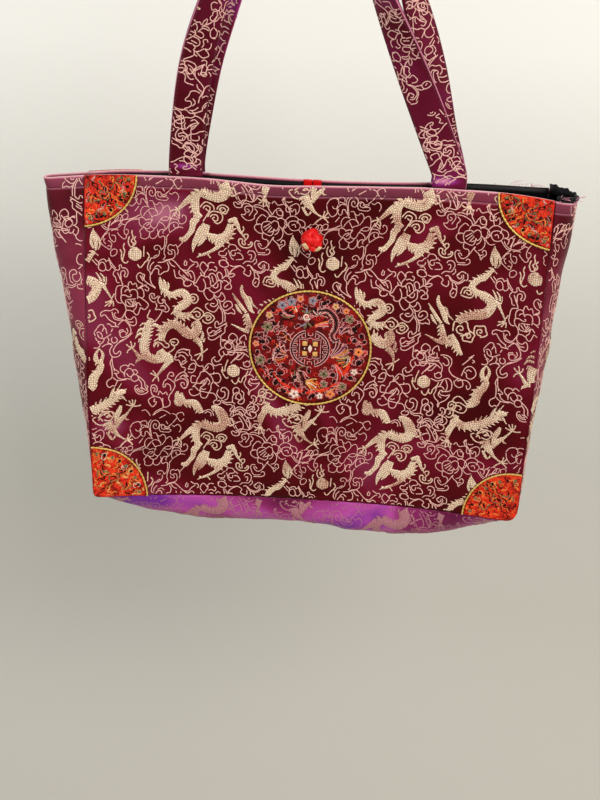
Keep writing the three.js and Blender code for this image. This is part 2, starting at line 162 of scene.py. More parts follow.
# %% The sweep of wall and floor
wall_back, floor_drop, bend = 0.42, -1.15, 0.4     # in metres, as the three after them
floor_front, wall_top, half_width = -4.0, 3.0, 4
bend_steps = 8
sweep_points = [(floor_front, floor_drop)]
for step in range(bend_steps + 1):
    angle = math.radians(90 * step / bend_steps)
    sweep_points.append((wall_back - bend + bend * math.sin(angle),
                         floor_drop + bend - bend * math.cos(angle)))
sweep_points.append((wall_back, wall_top))
sweep_mesh = bpy.data.meshes.new("backdrop")
sweep_mesh.from_pydata([(x, y, z) for y, z in sweep_points for x in (-half_width, half_width)], [],
                       [(2 * i, 2 * i + 1, 2 * i + 3, 2 * i + 2) for i in range(len(sweep_points) - 1)])
backdrop = bpy.data.objects.new("backdrop", sweep_mesh)
bpy.context.scene.collection.objects.link(backdrop)
for face in sweep_mesh.polygons:
    face.use_smooth = True
paper, tree, shader = new_material("pale_backdrop_paper_with_painted_shade")
in_scene = node(tree, "ShaderNodeTexCoord").outputs["Object"]
height = node(tree, "ShaderNodeSeparateXYZ", Vector=in_scene).outputs["Z"]
# The paper is painted darker towards the floor and paler towards the top, with mottled patches: painted shade
# on the backdrop.
rise = node(tree, "ShaderNodeMapRange", Value=height, From_Min=-0.95, From_Max=0.15).outputs[0]
mottle = node(tree, "ShaderNodeTexNoise", Scale=2.2, Detail=3.0).outputs["Fac"]
rise = node(tree, "ShaderNodeMath", {"operation": "MULTIPLY_ADD"}, i0=mottle, i1=0.3, i2=rise).outputs[0]
paper_with_painted_shade = ramp(tree, rise, [(0.1, "#b8b5ac"), (0.55, "#d2d3cd"), (0.85, "#f2f3ee")])
set_shader(tree, shader, paper_with_painted_shade, Roughness=0.9)
behind = node(tree, "ShaderNodeNewGeometry").outputs["Backfacing"]
clear = node(tree, "ShaderNodeBsdfTransparent").outputs["BSDF"]
one_way = node(tree, "ShaderNodeMixShader", i0=behind, i1=shader.outputs[0], i2=clear)
tree.links.new(one_way.outputs[0], tree.nodes["Material Output"].inputs["Surface"])
sweep_mesh.materials.append(paper)
backdrop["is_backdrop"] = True
print("backdrop of", len(sweep_mesh.polygons), "faces, its wall at y =", wall_back)

# %% Lamps and sky
world = bpy.data.worlds.new("sky")
bpy.context.scene.world = world
world.use_nodes = True
world.node_tree.nodes["Background"].inputs["Color"].default_value = linear("#f4f2ee")
world.node_tree.nodes["Background"].inputs["Strength"].default_value = 0.74


def area_lamp(name, place, target, size, watts, colour):
    """A square lamp at a place that faces a target, both in metres."""
    data = bpy.data.lights.new(name, "AREA")
    data.size = size
    data.energy = watts
    data.color = linear(colour)[:3]
    lamp = bpy.data.objects.new(name, data)
    bpy.context.scene.collection.objects.link(lamp)
    lamp.location = place
    lamp.rotation_euler = (Vector(target) - Vector(place)).to_track_quat("-Z", "Y").to_euler()


area_lamp("window_light", (1.2, -1.5, 1.0), (0, 0, -0.4), 1.4, 35, "#fff8f0")
area_lamp("room_light", (-1.4, -1.2, 0.3), (0, 0, -0.4), 1.6, 10, "#f4f6ff")
bpy.context.scene.view_settings.view_transform = "Standard"
print("stage ready")

# %% [markdown]
# ## How the bag hangs
# The same loft as the CAD model: two panels, two folded gussets and a base that sags into a
# trough, each a surface with two numbers for a place on the cloth. Everything sewn to the
# bag is laid on these surfaces.

# %% The loft's sizes in mm
SEAM_X, PANEL_H = 200.0, 305.0     # half a panel's width, and its height
HALF_GUSSET = 42.0                 # half the width of a gusset or the base, laid flat
# Half the bag's depth: the rim's middle and two ends, the bottom's middle, the lower corners
RIM_GAP, LEFT_RIM_GAP, RIGHT_RIM_GAP, BOTTOM_GAP, CORNER_GAP = 9.5, 7.0, 21.0, 22.0, 41.5
LEFT_FOLD, RIGHT_FOLD, CORNER_FOLD = 38.0, 22.0, 4.0     # how far the gussets fold outwards
TROUGH_DEPTH, TROUGH_SAG, SAG_X, SAG_REACH = 35.0, 8.0, 85, 45
STRAP_X, STRAP_SPACING = 112.0, 224.0
# Depths under the outer face: the interlining's two faces and the lining's two
INTERLINING_TOP, INTERLINING_UNDER, LINING_TOP, STACK = 1.0, 2.0, 2.3, 2.8
HEM, HEM_TAPER = 9.0, 4.0
print("panels of", 2 * SEAM_X, "x", PANEL_H, "mm, gussets and base", 2 * HALF_GUSSET, "mm wide")


# %% The loft's surfaces
def mix(a, b, share):
    """A value between a and b."""
    return a + (b - a) * share


def within(share):
    """A share held between 0 and 1."""
    return np.clip(share, 0, 1)


def smooth(share):
    """A step from 0 to 1 with soft ends."""
    share = within(share)
    return share * share * (3 - 2 * share)


def seam_half_depth(side, w):
    """Half the bag's depth at a side seam, from w = 0 at the rim to 1 at the base."""
    at_rim = np.where(np.asarray(side) < 0, LEFT_RIM_GAP, RIGHT_RIM_GAP)
    return mix(at_rim, CORNER_GAP, 1 - (1 - within(w)) ** 2.2)


def half_depth(x, w):
    """Half the bag's depth at a place on a panel."""
    middle = mix(RIM_GAP, BOTTOM_GAP, within(w) ** 1.2)
    curl = np.abs(x / SEAM_X) ** mix(6, 2.4, w)
    return mix(middle, seam_half_depth(x, w), curl)


def height_at(x, w):
    """The height of a place on a panel. The rim hangs lower at its ends and between the straps."""
    beyond = np.abs(x / SEAM_X) ** 6
    between = np.where(np.abs(x) < STRAP_X, np.cos(np.pi * x / STRAP_SPACING) ** 2, 0)
    return -PANEL_H * w + (1 - w) ** 2 * (-3.5 * beyond - 2.2 * between)


def fold_point(d, b, s):
    """A point on a fold that bulges by b from a chord of half-width d, at s from -1 to 1."""
    s = s + 0 * d
    b = b + 0 * d
    radius = (d * d + b * b) / (2 * b)
    angle = s * np.arcsin(np.minimum(d / radius, 1))
    shallow = (radius * np.sin(angle), radius * np.cos(angle) - radius + b)
    arm = b - d
    half = np.pi * d / 2
    along = np.abs(s) * (arm + half)
    in_arc = along <= half
    deep = (np.where(in_arc, np.sign(s) * d * np.sin(along / d), np.sign(s) * d),
            np.where(in_arc, arm + d * np.cos(along / d), arm - (along - half)))
    return np.where(b < d, shallow[0], deep[0]), np.where(b < d, shallow[1], deep[1])


def fold_turn(d, b):
    """How far short of a right angle a fold leaves its chord."""
    return np.where(b < d, np.pi / 2 - 2 * np.arctan(b / d), 0)


def gusset_fold(side, w):
    """How far a gusset's fold stands out from the seams."""
    return mix(LEFT_FOLD if side < 0 else RIGHT_FOLD, CORNER_FOLD, w)


def panel_surface(front):
    """place(x, w) in mm on a panel."""
    def place(x, w):
        # The front rim sags a little between the left strap and the button
        sag = (2.4 if front else 0.0) * np.exp(-((x + 42) / 36) ** 2 - (w * PANEL_H / 28) ** 2)
        return np.stack([x + 0 * w, (-1 if front else 1) * half_depth(x, w), height_at(x, w) - sag], -1)
    return place


def gusset_surface(side):
    """place(s, w) in mm on a gusset, with s from -1 at the front seam to 1 at the back one."""
    def place(s, w):
        fold = gusset_fold(side, w)
        across, out = fold_point(seam_half_depth(side, w) + 0 * s, fold, s)
        droop = 4 * (1 - w) ** 2 + 4 * w ** 4
        return np.stack([side * (SEAM_X + out), across, height_at(SEAM_X, w) - droop * out / fold], -1)
    return place


def trough(x):
    """How deep the base hangs, with a bulge towards the right."""
    bulge = TROUGH_SAG * np.exp(-((x - SAG_X) / SAG_REACH) ** 2)
    return mix(TROUGH_DEPTH, CORNER_FOLD, np.abs(x / SEAM_X) ** 5) + bulge


def base_surface(u, s):
    """A place in mm on the base, with u and s from -1 to 1 along it and across."""
    _, end_out = fold_point(CORNER_GAP + 0 * u, CORNER_FOLD, s)
    x = u * SEAM_X
    across, out = fold_point(half_depth(x, 1.0), trough(x), s)
    return np.stack([u * (SEAM_X + end_out), across, -PANEL_H - out], -1)


print("base of the trough", base_surface(np.array(0.0), np.array(0.0)))

# %% [markdown]
# ## Cloth with a thickness
# A sewn bag shows its cloth's edge only at the rim and the seams, so every layer is a slab
# between two depths under the loft. The slabs of neighbouring pieces are drawn in at the
# seam by half the corner's angle, as a mitre, so that layers meet without crossing.

# %% Mitres at the seams
SEAM_GAP = 0.2     # between a piece's edge and the seam line, in mm


def mitre(angle, depth):
    """How far a layer at a depth is drawn in at a seam that turns by an angle."""
    return SEAM_GAP + depth * np.tan(angle / 2)


def side_turn(side, w):
    """The angle by which the cloth turns at the seam of a panel and a gusset."""
    slope = np.arctan(half_depth(side * SEAM_X, w) - half_depth(side * (SEAM_X - 1), w))
    return np.maximum(0, fold_turn(seam_half_depth(side, w), gusset_fold(side, w)) + slope)


def base_turn(x):
    """The angle by which the cloth turns at the seam of a panel and the base."""
    return fold_turn(half_depth(x, 1.0), trough(x))


def end_turn(s):
    """The angle by which the cloth turns at the seam of the base and a gusset."""
    return np.pi / 2 - math.atan(31 * 5 / SEAM_X) * (1 - s * s)


def panel_domain(column, row, depth):
    """The place (x, w) of a slab's column and row at a depth, drawn in at the seams."""
    w = row / PANEL_H
    turn_here = np.where(column < 0, side_turn(-1, w), side_turn(1, w))
    x = column - column / SEAM_X * mitre(turn_here, depth)
    return x, w * (1 - mitre(base_turn(x), depth) / PANEL_H)


def gusset_domain(side):
    """domain(column, row, depth) for the place (s, w) on a gusset, drawn in at the seams."""
    def domain(column, row, depth):
        w = row / PANEL_H
        fold = gusset_fold(side, w)
        across, _ = fold_point(seam_half_depth(side, w), fold, 1.0)
        s = column * (1 - mitre(side_turn(side, w), depth) / np.maximum(across, fold))
        return s, w * (1 - mitre(end_turn(s), depth) / PANEL_H)
    return domain


def base_domain(column, row, depth):
    """The place (u, s) on the base, drawn in at the seams."""
    u = column * (1 - mitre(end_turn(row), depth) / SEAM_X)
    x = u * SEAM_X
    s = row * (1 - mitre(base_turn(x), depth) / np.maximum(half_depth(x, 1.0), trough(x)))
    return u, s


print("a layer 2 mm deep is drawn in by", round(mitre(np.pi / 2, 2.0), 2), "mm at a square seam")

# %% [markdown]
# ## Folds and ripples
# Hung cloth is never flat. Each fold is a soft ridge along a line, given by its two ends, its
# half-width and its height in mm, and long faint waves run under them. All the layers of a
# panel move together, so none comes through another.

# %% Folds
def ridges(x, d, folds):
    """The height in mm of a list of folds at a place on the cloth."""
    total = np.zeros(np.broadcast(x, d).shape)
    for x0, d0, x1, d1, width, height in folds:
        length = math.hypot(x1 - x0, d1 - d0)
        ux, ud = (x1 - x0) / length, (d1 - d0) / length
        along = ((x - x0) * ux + (d - d0) * ud) / length
        off = (x - x0) * -ud + (d - d0) * ux
        beyond = np.maximum(np.abs(along - 0.5) - 0.25, 0) / 0.35
        total = total + height * np.exp(-(off / width) ** 2) * np.exp(-beyond ** 2 * 1.6)
    return total


front_folds = [
    (-185, 14, -60, 6, 9, 1.9), (-150, 30, -75, 20, 12, -1.1), (-60, 8, 40, 10, 10, 0.9),
    (-198, 197, -160, 203, 5, 1.5), (-196, 249, -140, 253, 4.5, 2.0), (-150, 258, -110, 270, 7, -1.2),
    (-30, 262, 60, 276, 11, 1.3), (60, 240, 120, 262, 12, -1.0), (95, 8, 150, 24, 9, 1.3),
    (120, 20, 190, 60, 12, 1.2), (182, 60, 168, 150, 8, 1.0), (150, 120, 176, 200, 9, -1.0),
    (-182, 60, -172, 150, 8, -1.0), (-165, 100, -176, 190, 7, 1.1), (-120, 100, -104, 180, 13, 0.9),
    (70, 90, 92, 190, 14, 0.9), (-20, 30, -8, 85, 12, -0.7), (20, 215, 30, 290, 10, 0.8),
    (-80, 285, 0, 292, 6, 1.2), (60, 292, 150, 284, 6, 1.1), (-190, 290, -110, 294, 5, 1.2),
]
back_folds = [
    (-170, 20, -60, 40, 12, 1.6), (60, 12, 180, 40, 11, 1.4), (-140, 120, -90, 220, 13, 1.2),
    (20, 90, 60, 210, 14, -1.1), (120, 140, 150, 250, 10, 1.2), (-60, 260, 80, 280, 9, 1.3),
    (-190, 240, -140, 262, 6, 1.7), (150, 262, 195, 250, 6, 1.5), (-30, 20, 30, 60, 14, -1.0),
]


def panel_bumps(front):
    """bumps(x, w), the height in mm of a panel's folds, waves and stitch line."""
    folds = front_folds if front else back_folds
    phase = 0.4 if front else 2.1

    def bumps(x, w):
        d = w * PANEL_H
        waves = 0.7 * np.sin(x / 21 + phase + 0.5 * np.sin(d / 60)) * np.sin(d / 75 + phase)
        waves = waves + 0.35 * np.sin(x / 9.5 - d / 31 + 2 * phase) * np.sin(d / 40 + x / 90)
        pull = 0.22 * np.sin(x / 2.3 + 1.5 * np.sin(x / 19)) * np.exp(-((PANEL_H - d) / 9) ** 2)
        pull = pull + 0.3 * np.sin(x / 2.4 + np.sin(x / 13)) * np.exp(-((d - HEM) / 5) ** 2)
        stitch_line = -0.7 * np.exp(-((d - HEM) / 1.3) ** 2)
        from_seam = SEAM_X - np.abs(x)
        edge = smooth(from_seam / 9) * smooth((PANEL_H - d) / 4)
        return (waves + ridges(x, d, folds)) * edge + (pull + stitch_line) * smooth(from_seam / 3)
    return bumps


def gusset_bumps(side):
    """bumps(s, w), the height in mm of a gusset's waves and stitch line."""
    def bumps(s, w):
        d = w * PANEL_H
        t = s * HALF_GUSSET
        fade = np.cos(np.pi * s / 2)
        waves = 0.8 * np.sin(d / 19 + t / 15 + side) * fade * smooth((PANEL_H - d) / 10)
        waves = waves + 0.4 * np.sin(d / 8 - t / 9 + 2 * side) * fade ** 2
        stitch_line = 0.6 * np.exp(-((d - HEM) / 1.3) ** 2) * smooth((1 - np.abs(s)) * 12)
        return waves * smooth(d / 14) - stitch_line
    return bumps


base_folds = [
    (30, -30, 62, 20, 9, 1.5), (62, -34, 84, 10, 7, -1.2), (-120, -20, -60, 10, 10, 1.6),
    (100, -30, 150, 0, 9, 1.2), (-180, -30, -130, -14, 6, 1.0),
]


def base_bumps(u, s):
    """The height in mm of the base's folds and waves."""
    x = u * SEAM_X
    fade = smooth((1 - np.abs(s)) * 7) * smooth((1 - np.abs(u)) * 12)
    waves = 0.7 * np.sin(x / 17 + 2 * s) * np.cos(s * 2)
    waves = waves + 0.25 * np.sin(x / 5.2 + 3 * s + np.sin(x / 23))
    return (waves + ridges(x, s * HALF_GUSSET, base_folds)) * fade


print("folds:", len(front_folds), "in front,", len(back_folds), "behind,", len(base_folds), "below")

# %% A place on the cloth with a lift over it, and a slab of cloth
def layer(surface, bumps, outward, step_a=0.2):
    """lay(a, b, lift): places in mm over a surface with its folds, outward being 1 or -1."""
    def lay(a, b, lift):
        a = np.asarray(a, float)
        b = np.asarray(b, float)
        along_a = surface(a + step_a, b) - surface(a - step_a, b)
        along_b = surface(a, b + 1e-3) - surface(a, b - 1e-3)
        normal = np.cross(along_a, along_b)
        normal *= outward / np.linalg.norm(normal, axis=-1, keepdims=True)
        return surface(a, b) + normal * np.asarray(bumps(a, b) + lift)[..., None]
    return lay


def spread(breaks, step):
    """Even steps of about a size between given breaks."""
    values = [breaks[0]]
    for lo, hi in zip(breaks, breaks[1:]):
        count = max(1, round(abs(hi - lo) / step))
        values += [lo + (hi - lo) * k / count for k in range(1, count + 1)]
    return np.array(values)


def slab(lay, domain, columns, rows, top, under, flip, flat):
    """A closed slab of cloth between the depths top and under, as (places, quads, kinds, flats).

    domain turns a column, a row and a depth into lay's two numbers, and flat(a, b) gives each
    place in mm on the flat cloth.
    """
    column, row = np.meshgrid(columns, rows, indexing="ij")
    places, flats = [], []
    for depth in (top(column, row), under(column, row)):
        a, b = domain(column, row, depth)
        places.append(lay(a, b, -depth).reshape(-1, 3))
        flats.append(np.stack(flat(a, b), -1).reshape(-1, 2))
    m, n = len(columns), len(rows)
    count = m * n
    index = np.arange(count).reshape(m, n)
    outer = np.stack([index[:-1, :-1], index[1:, :-1], index[1:, 1:], index[:-1, 1:]], -1).reshape(-1, 4)
    faces = [outer, outer[:, ::-1] + count]
    for edge in (index[:, 0], index[::-1, -1], index[-1, :], index[0, ::-1]):
        faces.append(np.stack([edge[:-1], edge[:-1] + count, edge[1:] + count, edge[1:]], -1))
    quads = np.concatenate(faces)
    if flip:
        quads = quads[:, ::-1]
    kinds = np.zeros(len(quads), int)
    return np.concatenate(places), quads, kinds, np.concatenate(flats)


def join(parts):
    """Several (places, quads, kinds, flats) as one."""
    places, quads, kinds, flats, start = [], [], [], [], 0
    for part in parts:
        places.append(part[0])
        quads.append(part[1] + start)
        kinds.append(part[2])
        flats.append(part[3])
        start += len(part[0])
    return np.concatenate(places), np.concatenate(quads), np.concatenate(kinds), np.concatenate(flats)


def round_corners(places):
    """Rounds the bag's two lower corners, where panel, gusset and base meet, in all layers alike."""
    places = places.copy()
    for side, radius in ((-1, 6.0), (1, 12.0)):
        across = side * places[:, 0] - (SEAM_X - radius)
        down = -places[:, 2] - (PANEL_H - radius)
        near = (across > 0) & (down > 0)
        draw_in = np.where(near, np.maximum(across, down) / np.hypot(across, down + 1e-9), 1.0)
        places[:, 0] = np.where(near, side * (SEAM_X - radius + across * draw_in), places[:, 0])
        places[:, 2] = np.where(near, -(PANEL_H - radius + down * draw_in), places[:, 2])
    return places


def cloth_object(name, part, materials, body="bag"):
    """A mesh object from places in mm, with the flat cloth as its UV map in units of 10 mm."""
    places, quads, kinds, flats = part
    if body == "bag":
        places = round_corners(places)
    metres = (places - np.array([HANG_X, 0, HANG_Z])) * MM
    mesh = bpy.data.meshes.new(name)
    mesh.vertices.add(len(metres))
    mesh.vertices.foreach_set("co", metres.astype(np.float32).ravel())
    mesh.loops.add(quads.size)
    mesh.loops.foreach_set("vertex_index", quads.astype(np.int32).ravel())
    mesh.polygons.add(len(quads))
    mesh.polygons.foreach_set("loop_start", np.arange(0, quads.size, 4, dtype=np.int32))
    mesh.polygons.foreach_set("material_index", kinds.astype(np.int32))
    mesh.polygons.foreach_set("use_smooth", np.ones(len(quads), bool))
    uv = mesh.uv_layers.new(name="cloth")
    uv.data.foreach_set("uv", (flats[quads.ravel()] / 10).astype(np.float32).ravel())
    for material in materials:
        mesh.materials.append(material)
    mesh.update(calc_edges=True)
    mesh.validate()
    made = bpy.data.objects.new(name, mesh)
    bpy.context.scene.collection.objects.link(made)
    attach(made, body)
    print(name, len(quads), "faces")
    return made


print("a panel takes", len(spread([0, PANEL_H], 2.5)), "rows of places, 2.5 mm apart")

# %% [markdown]
# ## Curves and sweeps
# Cords, straps, the knot and the woven figures all follow smooth curves through a few points.
# A sweep carries a section along such a curve and closes its two ends.

# %% Curves and sweeps
def distances(path):
    """How far along a path each of its places lies."""
    return np.concatenate([[0], np.cumsum(np.linalg.norm(np.diff(path, axis=0), axis=1))])


def curve_through(points, step, closed=False):
    """Places at even steps along a centripetal Catmull-Rom curve. Extra columns go along."""
    points = np.asarray(points, float)
    if closed:
        padded = np.concatenate([points[-1:], points, points[:2]])
    else:
        padded = np.concatenate([2 * points[:1] - points[1:2], points, 2 * points[-1:] - points[-2:-1]])
    gaps = np.maximum(np.linalg.norm(np.diff(padded, axis=0), axis=1), 1e-9) ** 0.5
    dense = []
    share = np.linspace(0, 1, 25)[:-1, None]
    for i in range(1, len(padded) - 2):
        p0, p1, p2, p3 = padded[i - 1:i + 3]
        g0, g1, g2 = gaps[i - 1:i + 2]
        t1 = ((p1 - p0) / g0 - (p2 - p0) / (g0 + g1) + (p2 - p1) / g1) * g1
        t2 = ((p2 - p1) / g1 - (p3 - p1) / (g1 + g2) + (p3 - p2) / g2) * g1
        dense.append(p1 + t1 * share + (3 * (p2 - p1) - 2 * t1 - t2) * share ** 2
                     + (2 * (p1 - p2) + t1 + t2) * share ** 3)
    dense = np.concatenate(dense + [padded[-2:-1]])
    lengths = distances(dense)
    count = max(2, round(lengths[-1] / step) + 1)
    even = np.linspace(0, lengths[-1], count)
    return np.stack([np.interp(even, lengths, dense[:, k]) for k in range(points.shape[1])], -1)


def unit(vectors):
    """Vectors of the same directions with a length of 1."""
    return vectors / np.linalg.norm(vectors, axis=-1, keepdims=True)


def oval(across, rise, sides):
    """A section in the shape of an oval, as (across, up), with the reach both ways in mm."""
    angle = np.linspace(0, 2 * np.pi, sides + 1)[:-1]
    return np.stack([across * np.cos(angle), rise * np.sin(angle)], -1)


def tube_quads(n, m, closed=False):
    """The faces round a tube of n rings with m corners each, and its first and last cap."""
    index = np.arange(n * m).reshape(n, m)
    if closed:
        index[-1] = index[0]
    after = np.roll(index, -1, axis=1)
    quads = np.stack([index[:-1], index[1:], after[1:], after[:-1]], -1).reshape(-1, 4)
    cap = np.array([[i, i + 1, m - 2 - i, m - 1 - i] for i in range(m // 2 - 1)])
    return quads, cap, cap + (n - 1) * m


def sweep(path, up, ring, closed=False):
    """A section carried along a path, as (places, quads, kinds, flats).

    ring is one section of (across, up) in mm for the whole path, or one for each of its places.
    """
    along = unit(np.gradient(path, axis=0))
    if closed:
        along[0] = along[-1] = unit(path[1] - path[-2])
    up = unit(up - along * np.sum(up * along, -1, keepdims=True))
    across = np.cross(up, along)
    rings = ring if ring.ndim == 3 else np.broadcast_to(ring, (len(path),) + ring.shape)
    places = path[:, None] + across[:, None] * rings[..., :1] + up[:, None] * rings[..., 1:2]
    n, m = rings.shape[:2]
    edges = np.linalg.norm(np.roll(rings[n // 2], -1, 0) - rings[n // 2], axis=1)
    round_it = np.concatenate([[0], np.cumsum(edges)[:-1]])
    flats = np.stack(np.broadcast_arrays(distances(path)[:, None], round_it[None]), -1)
    quads, first_cap, last_cap = tube_quads(n, m, closed)
    if not closed:
        quads = np.concatenate([quads, first_cap, last_cap[:, ::-1]])
    return places.reshape(-1, 3), quads, np.zeros(len(quads), int), flats.reshape(-1, 2)


arc = curve_through([(10, 0), (7.07, 7.07), (0, 10)], 0.5)
print("a quarter of a 10 mm circle is", round(float(distances(arc)[-1]), 2), "mm long, drawn as a curve")

# %% [markdown]
# ## The brocade's materials
# The ground is a satin woven of crimson one way and violet the other. Its violet and pink sheen in
# some folds is painted into its colour at given places, as painted sheen. Gold, pale pink and
# scale-patterned threads float over it as figures.

# %% Small helpers for patterns
def cloth_map(tree, across, along, turn=0.0):
    """The flat cloth's coordinates, in units of 10 mm, scaled and turned."""
    cloth = node(tree, "ShaderNodeUVMap", {"uv_map": "cloth"}).outputs["UV"]
    return node(tree, "ShaderNodeMapping", Vector=cloth, Scale=(across, along, 1),
                Rotation=(0, 0, turn)).outputs["Vector"]


def fine_noise(tree, across, along, turn=0.0, distortion=0.0):
    """Noise drawn out along the threads, by so many waves in 10 mm across and along the cloth."""
    return node(tree, "ShaderNodeTexNoise", Vector=cloth_map(tree, across, along, turn), Scale=1.0,
                Detail=3.0, Distortion=distortion).outputs["Fac"]


def thread_bump(tree, shader, height, strength, distance):
    """Shades a surface as if its threads stood up, distance being their height in metres."""
    bump = node(tree, "ShaderNodeBump", Height=height, Strength=strength, Distance=distance)
    tree.links.new(bump.outputs["Normal"], shader.inputs["Normal"])


def woven_material(name, waves, stops, strength, height, **values):
    """A cloth or thread whose fine noise gives both its colours and its relief."""
    material, tree, shader = new_material(name)
    noise = fine_noise(tree, *waves)
    set_shader(tree, shader, ramp(tree, noise, stops), **values)
    thread_bump(tree, shader, noise, strength, height)
    return material


THREAD_WAVES = (5, 34)     # of the noise in 10 mm, along a thread and across it
THREAD_SLANT = 0.6         # of its twisted filaments, in radians


def thread_material(name, light, dark, roughness, metallic, sheen, gloss=0.25):
    """A floating thread: fine twisted filaments that catch the light in short dashes."""
    return woven_material(name, (*THREAD_WAVES, THREAD_SLANT), [(0.34, dark), (0.56, light)], 0.35, 0.0003,
                          Roughness=roughness, Metallic=metallic, Specular_IOR_Level=gloss,
                          Sheen_Weight=sheen, Sheen_Tint=linear(light))


print("a filament in a thread's shading is", round(10 / THREAD_WAVES[1], 2), "mm wide")

# %% The grounds of the panels, the sides, the base and the straps
# Edge colours and how much of each shows, from 0 at the rim to 1 at 20 mm below it: a painted
# highlight on the fold at the rim, the hem's pinker band, painted shade in the stitches' groove and
# a painted highlight below it
HEM_TINT_AND_PAINTED_LIGHT_COLOURS = [(0.0, "#f0c4c4"), (0.1, "#b4607c"), (0.43, "#b4607c"), (0.455, "#28040c"),
               (0.485, "#28040c"), (0.51, "#d08098"), (0.6, "#d08098")]
HEM_TINT_AND_PAINTED_LIGHT_SHARES = [(0.0, "#ffffff"), (0.09, "#f0f0f0"), (0.12, "#909090"), (0.43, "#808080"),
              (0.455, "#f0f0f0"), (0.485, "#f0f0f0"), (0.51, "#a0a0a0"), (0.6, "#000000")]
# A pale line painted along one edge of a strap, where it folds round at its seam: a painted
# highlight. The base's cloth starts too far in to show it
PAINTED_EDGE_HIGHLIGHT_COLOURS = [(0.0, "#d88ca8"), (1.0, "#d88ca8")]
PAINTED_EDGE_HIGHLIGHT_SHARES = [(0.07, "#d0d0d0"), (0.1, "#000000")]


def satin_ground(name, stops, sheen, painted_sheen_places=(), edge_colours_and_painted_light=HEM_TINT_AND_PAINTED_LIGHT_COLOURS,
                 edge_shares_and_painted_light=HEM_TINT_AND_PAINTED_LIGHT_SHARES, low=1.7):
    """Satin that drifts between colours. painted_sheen_places are (x, z, reach) in metres:
    soft spots painted paler and pinker as painted highlights, as sheen on a bulge.

    The edge colours go down from the rim: a painted highlight on the pale fold, the hem's
    pinker band, painted shade in the groove of its stitches and a painted highlight below it.
    """
    material, tree, shader = new_material(name)
    place = node(tree, "ShaderNodeTexCoord").outputs["Object"]
    drift_and_painted_sheen = node(tree, "ShaderNodeTexNoise", Vector=place, Scale=9.0, Detail=2.0,
                 Distortion=0.8).outputs["Fac"]
    # Each place adds a soft spot that moves the colour up the ramp, paler and pinker: a painted highlight.
    for x, z, reach in painted_sheen_places:
        spot = node(tree, "ShaderNodeVectorMath", {"operation": "MULTIPLY"}, i0=place,
                    i1=(1, 0, low)).outputs[0]
        far = node(tree, "ShaderNodeVectorMath", {"operation": "DISTANCE"}, i0=spot,
                   i1=(x, 0, low * z)).outputs["Value"]
        near = node(tree, "ShaderNodeMapRange", {"interpolation_type": "SMOOTHSTEP"}, Value=far,
                    From_Min=reach, From_Max=0.0, To_Max=0.34).outputs[0]
        drift_and_painted_sheen = node(tree, "ShaderNodeMath", {"operation": "ADD"}, i0=drift_and_painted_sheen, i1=near).outputs[0]
    warp = fine_noise(tree, 60, 6)
    streaks = ramp(tree, warp, [(0.3, "#a4a4a4"), (0.7, "#ffffff")])
    colour = node(tree, "ShaderNodeMix", {"data_type": "RGBA", "blend_type": "MULTIPLY"}, Factor=0.6,
                  i6=ramp(tree, drift_and_painted_sheen, stops), i7=streaks).outputs[2]
    cloth = node(tree, "ShaderNodeUVMap", {"uv_map": "cloth"}).outputs["UV"]
    down = node(tree, "ShaderNodeSeparateXYZ", Vector=cloth).outputs["Y"]
    down = node(tree, "ShaderNodeMath", {"operation": "MULTIPLY_ADD"}, i0=fine_noise(tree, 5, 5),
                i1=0.08, i2=down).outputs[0]
    down = node(tree, "ShaderNodeMath", {"operation": "MULTIPLY"}, i0=down, i1=0.5).outputs[0]
    # The rim's fold, the groove of the stitches and the band below it are mixed in here as painted highlight
    # and painted shade.
    edge_and_painted_light = node(tree, "ShaderNodeMix", {"data_type": "RGBA"}, Factor=ramp(tree, down, edge_shares_and_painted_light),
                 i6=colour, i7=ramp(tree, down, edge_colours_and_painted_light)).outputs[2]
    set_shader(tree, shader, edge_and_painted_light, Roughness=0.38, Specular_IOR_Level=0.15, Sheen_Weight=sheen,
               Specular_Tint=linear("#f0a8a4"), Sheen_Roughness=0.35, Sheen_Tint=linear("#b84864"))
    thread_bump(tree, shader, warp, 0.3, 0.0004)
    return material


# Its two sheen places are painted highlights: a pale pink patch at the upper left and a crease at the lower
# left.
panel_ground = satin_ground(
    "crimson_satin_shot_with_violet_and_painted_sheen",
    [(0.34, "#420408"), (0.5, "#580812"), (0.6, "#721028"), (0.78, "#86304e"), (0.95, "#be728a")],
    0.06, [(-0.125, -0.288, 0.06), (-0.17, -0.487, 0.022)])
# The sides are the panels' satin in a lighter, pinker copy: their pink is painted sheen.
side_ground = satin_ground(
    "shot_satin_of_the_sides_with_painted_pink_sheen", [(0.34, "#480a14"), (0.5, "#601222"), (0.66, "#8c344c")], 0.1)
# The base is the panels' satin in a magenta and violet copy: painted sheen, where the base is seen at a
# grazing angle.
base_ground = satin_ground(
    "shot_satin_of_the_base_with_painted_magenta_sheen",
    [(0.36, "#6c1c44"), (0.46, "#983070"), (0.56, "#c454ac"), (0.68, "#8030a0")],
    0.12, (), PAINTED_EDGE_HIGHLIGHT_COLOURS, PAINTED_EDGE_HIGHLIGHT_SHARES)
# The straps' violet and pale pink colours are partly painted sheen on the crimson satin, and its two sheen
# places are painted highlights over the creases at the strap bases.
strap_ground = satin_ground(
    "crimson_satin_of_the_straps_with_painted_violet_sheen",
    [(0.36, "#500a18"), (0.48, "#6a1230"), (0.56, "#7e1c54"), (0.66, "#942c84"), (0.9, "#e48cb8")],
    0.1, [(-0.103, -0.247, 0.019), (0.118, -0.25, 0.019)], PAINTED_EDGE_HIGHLIGHT_COLOURS, PAINTED_EDGE_HIGHLIGHT_SHARES, 4.0)
print("grounds", [ground.name for ground in (panel_ground, side_ground, base_ground, strap_ground)])

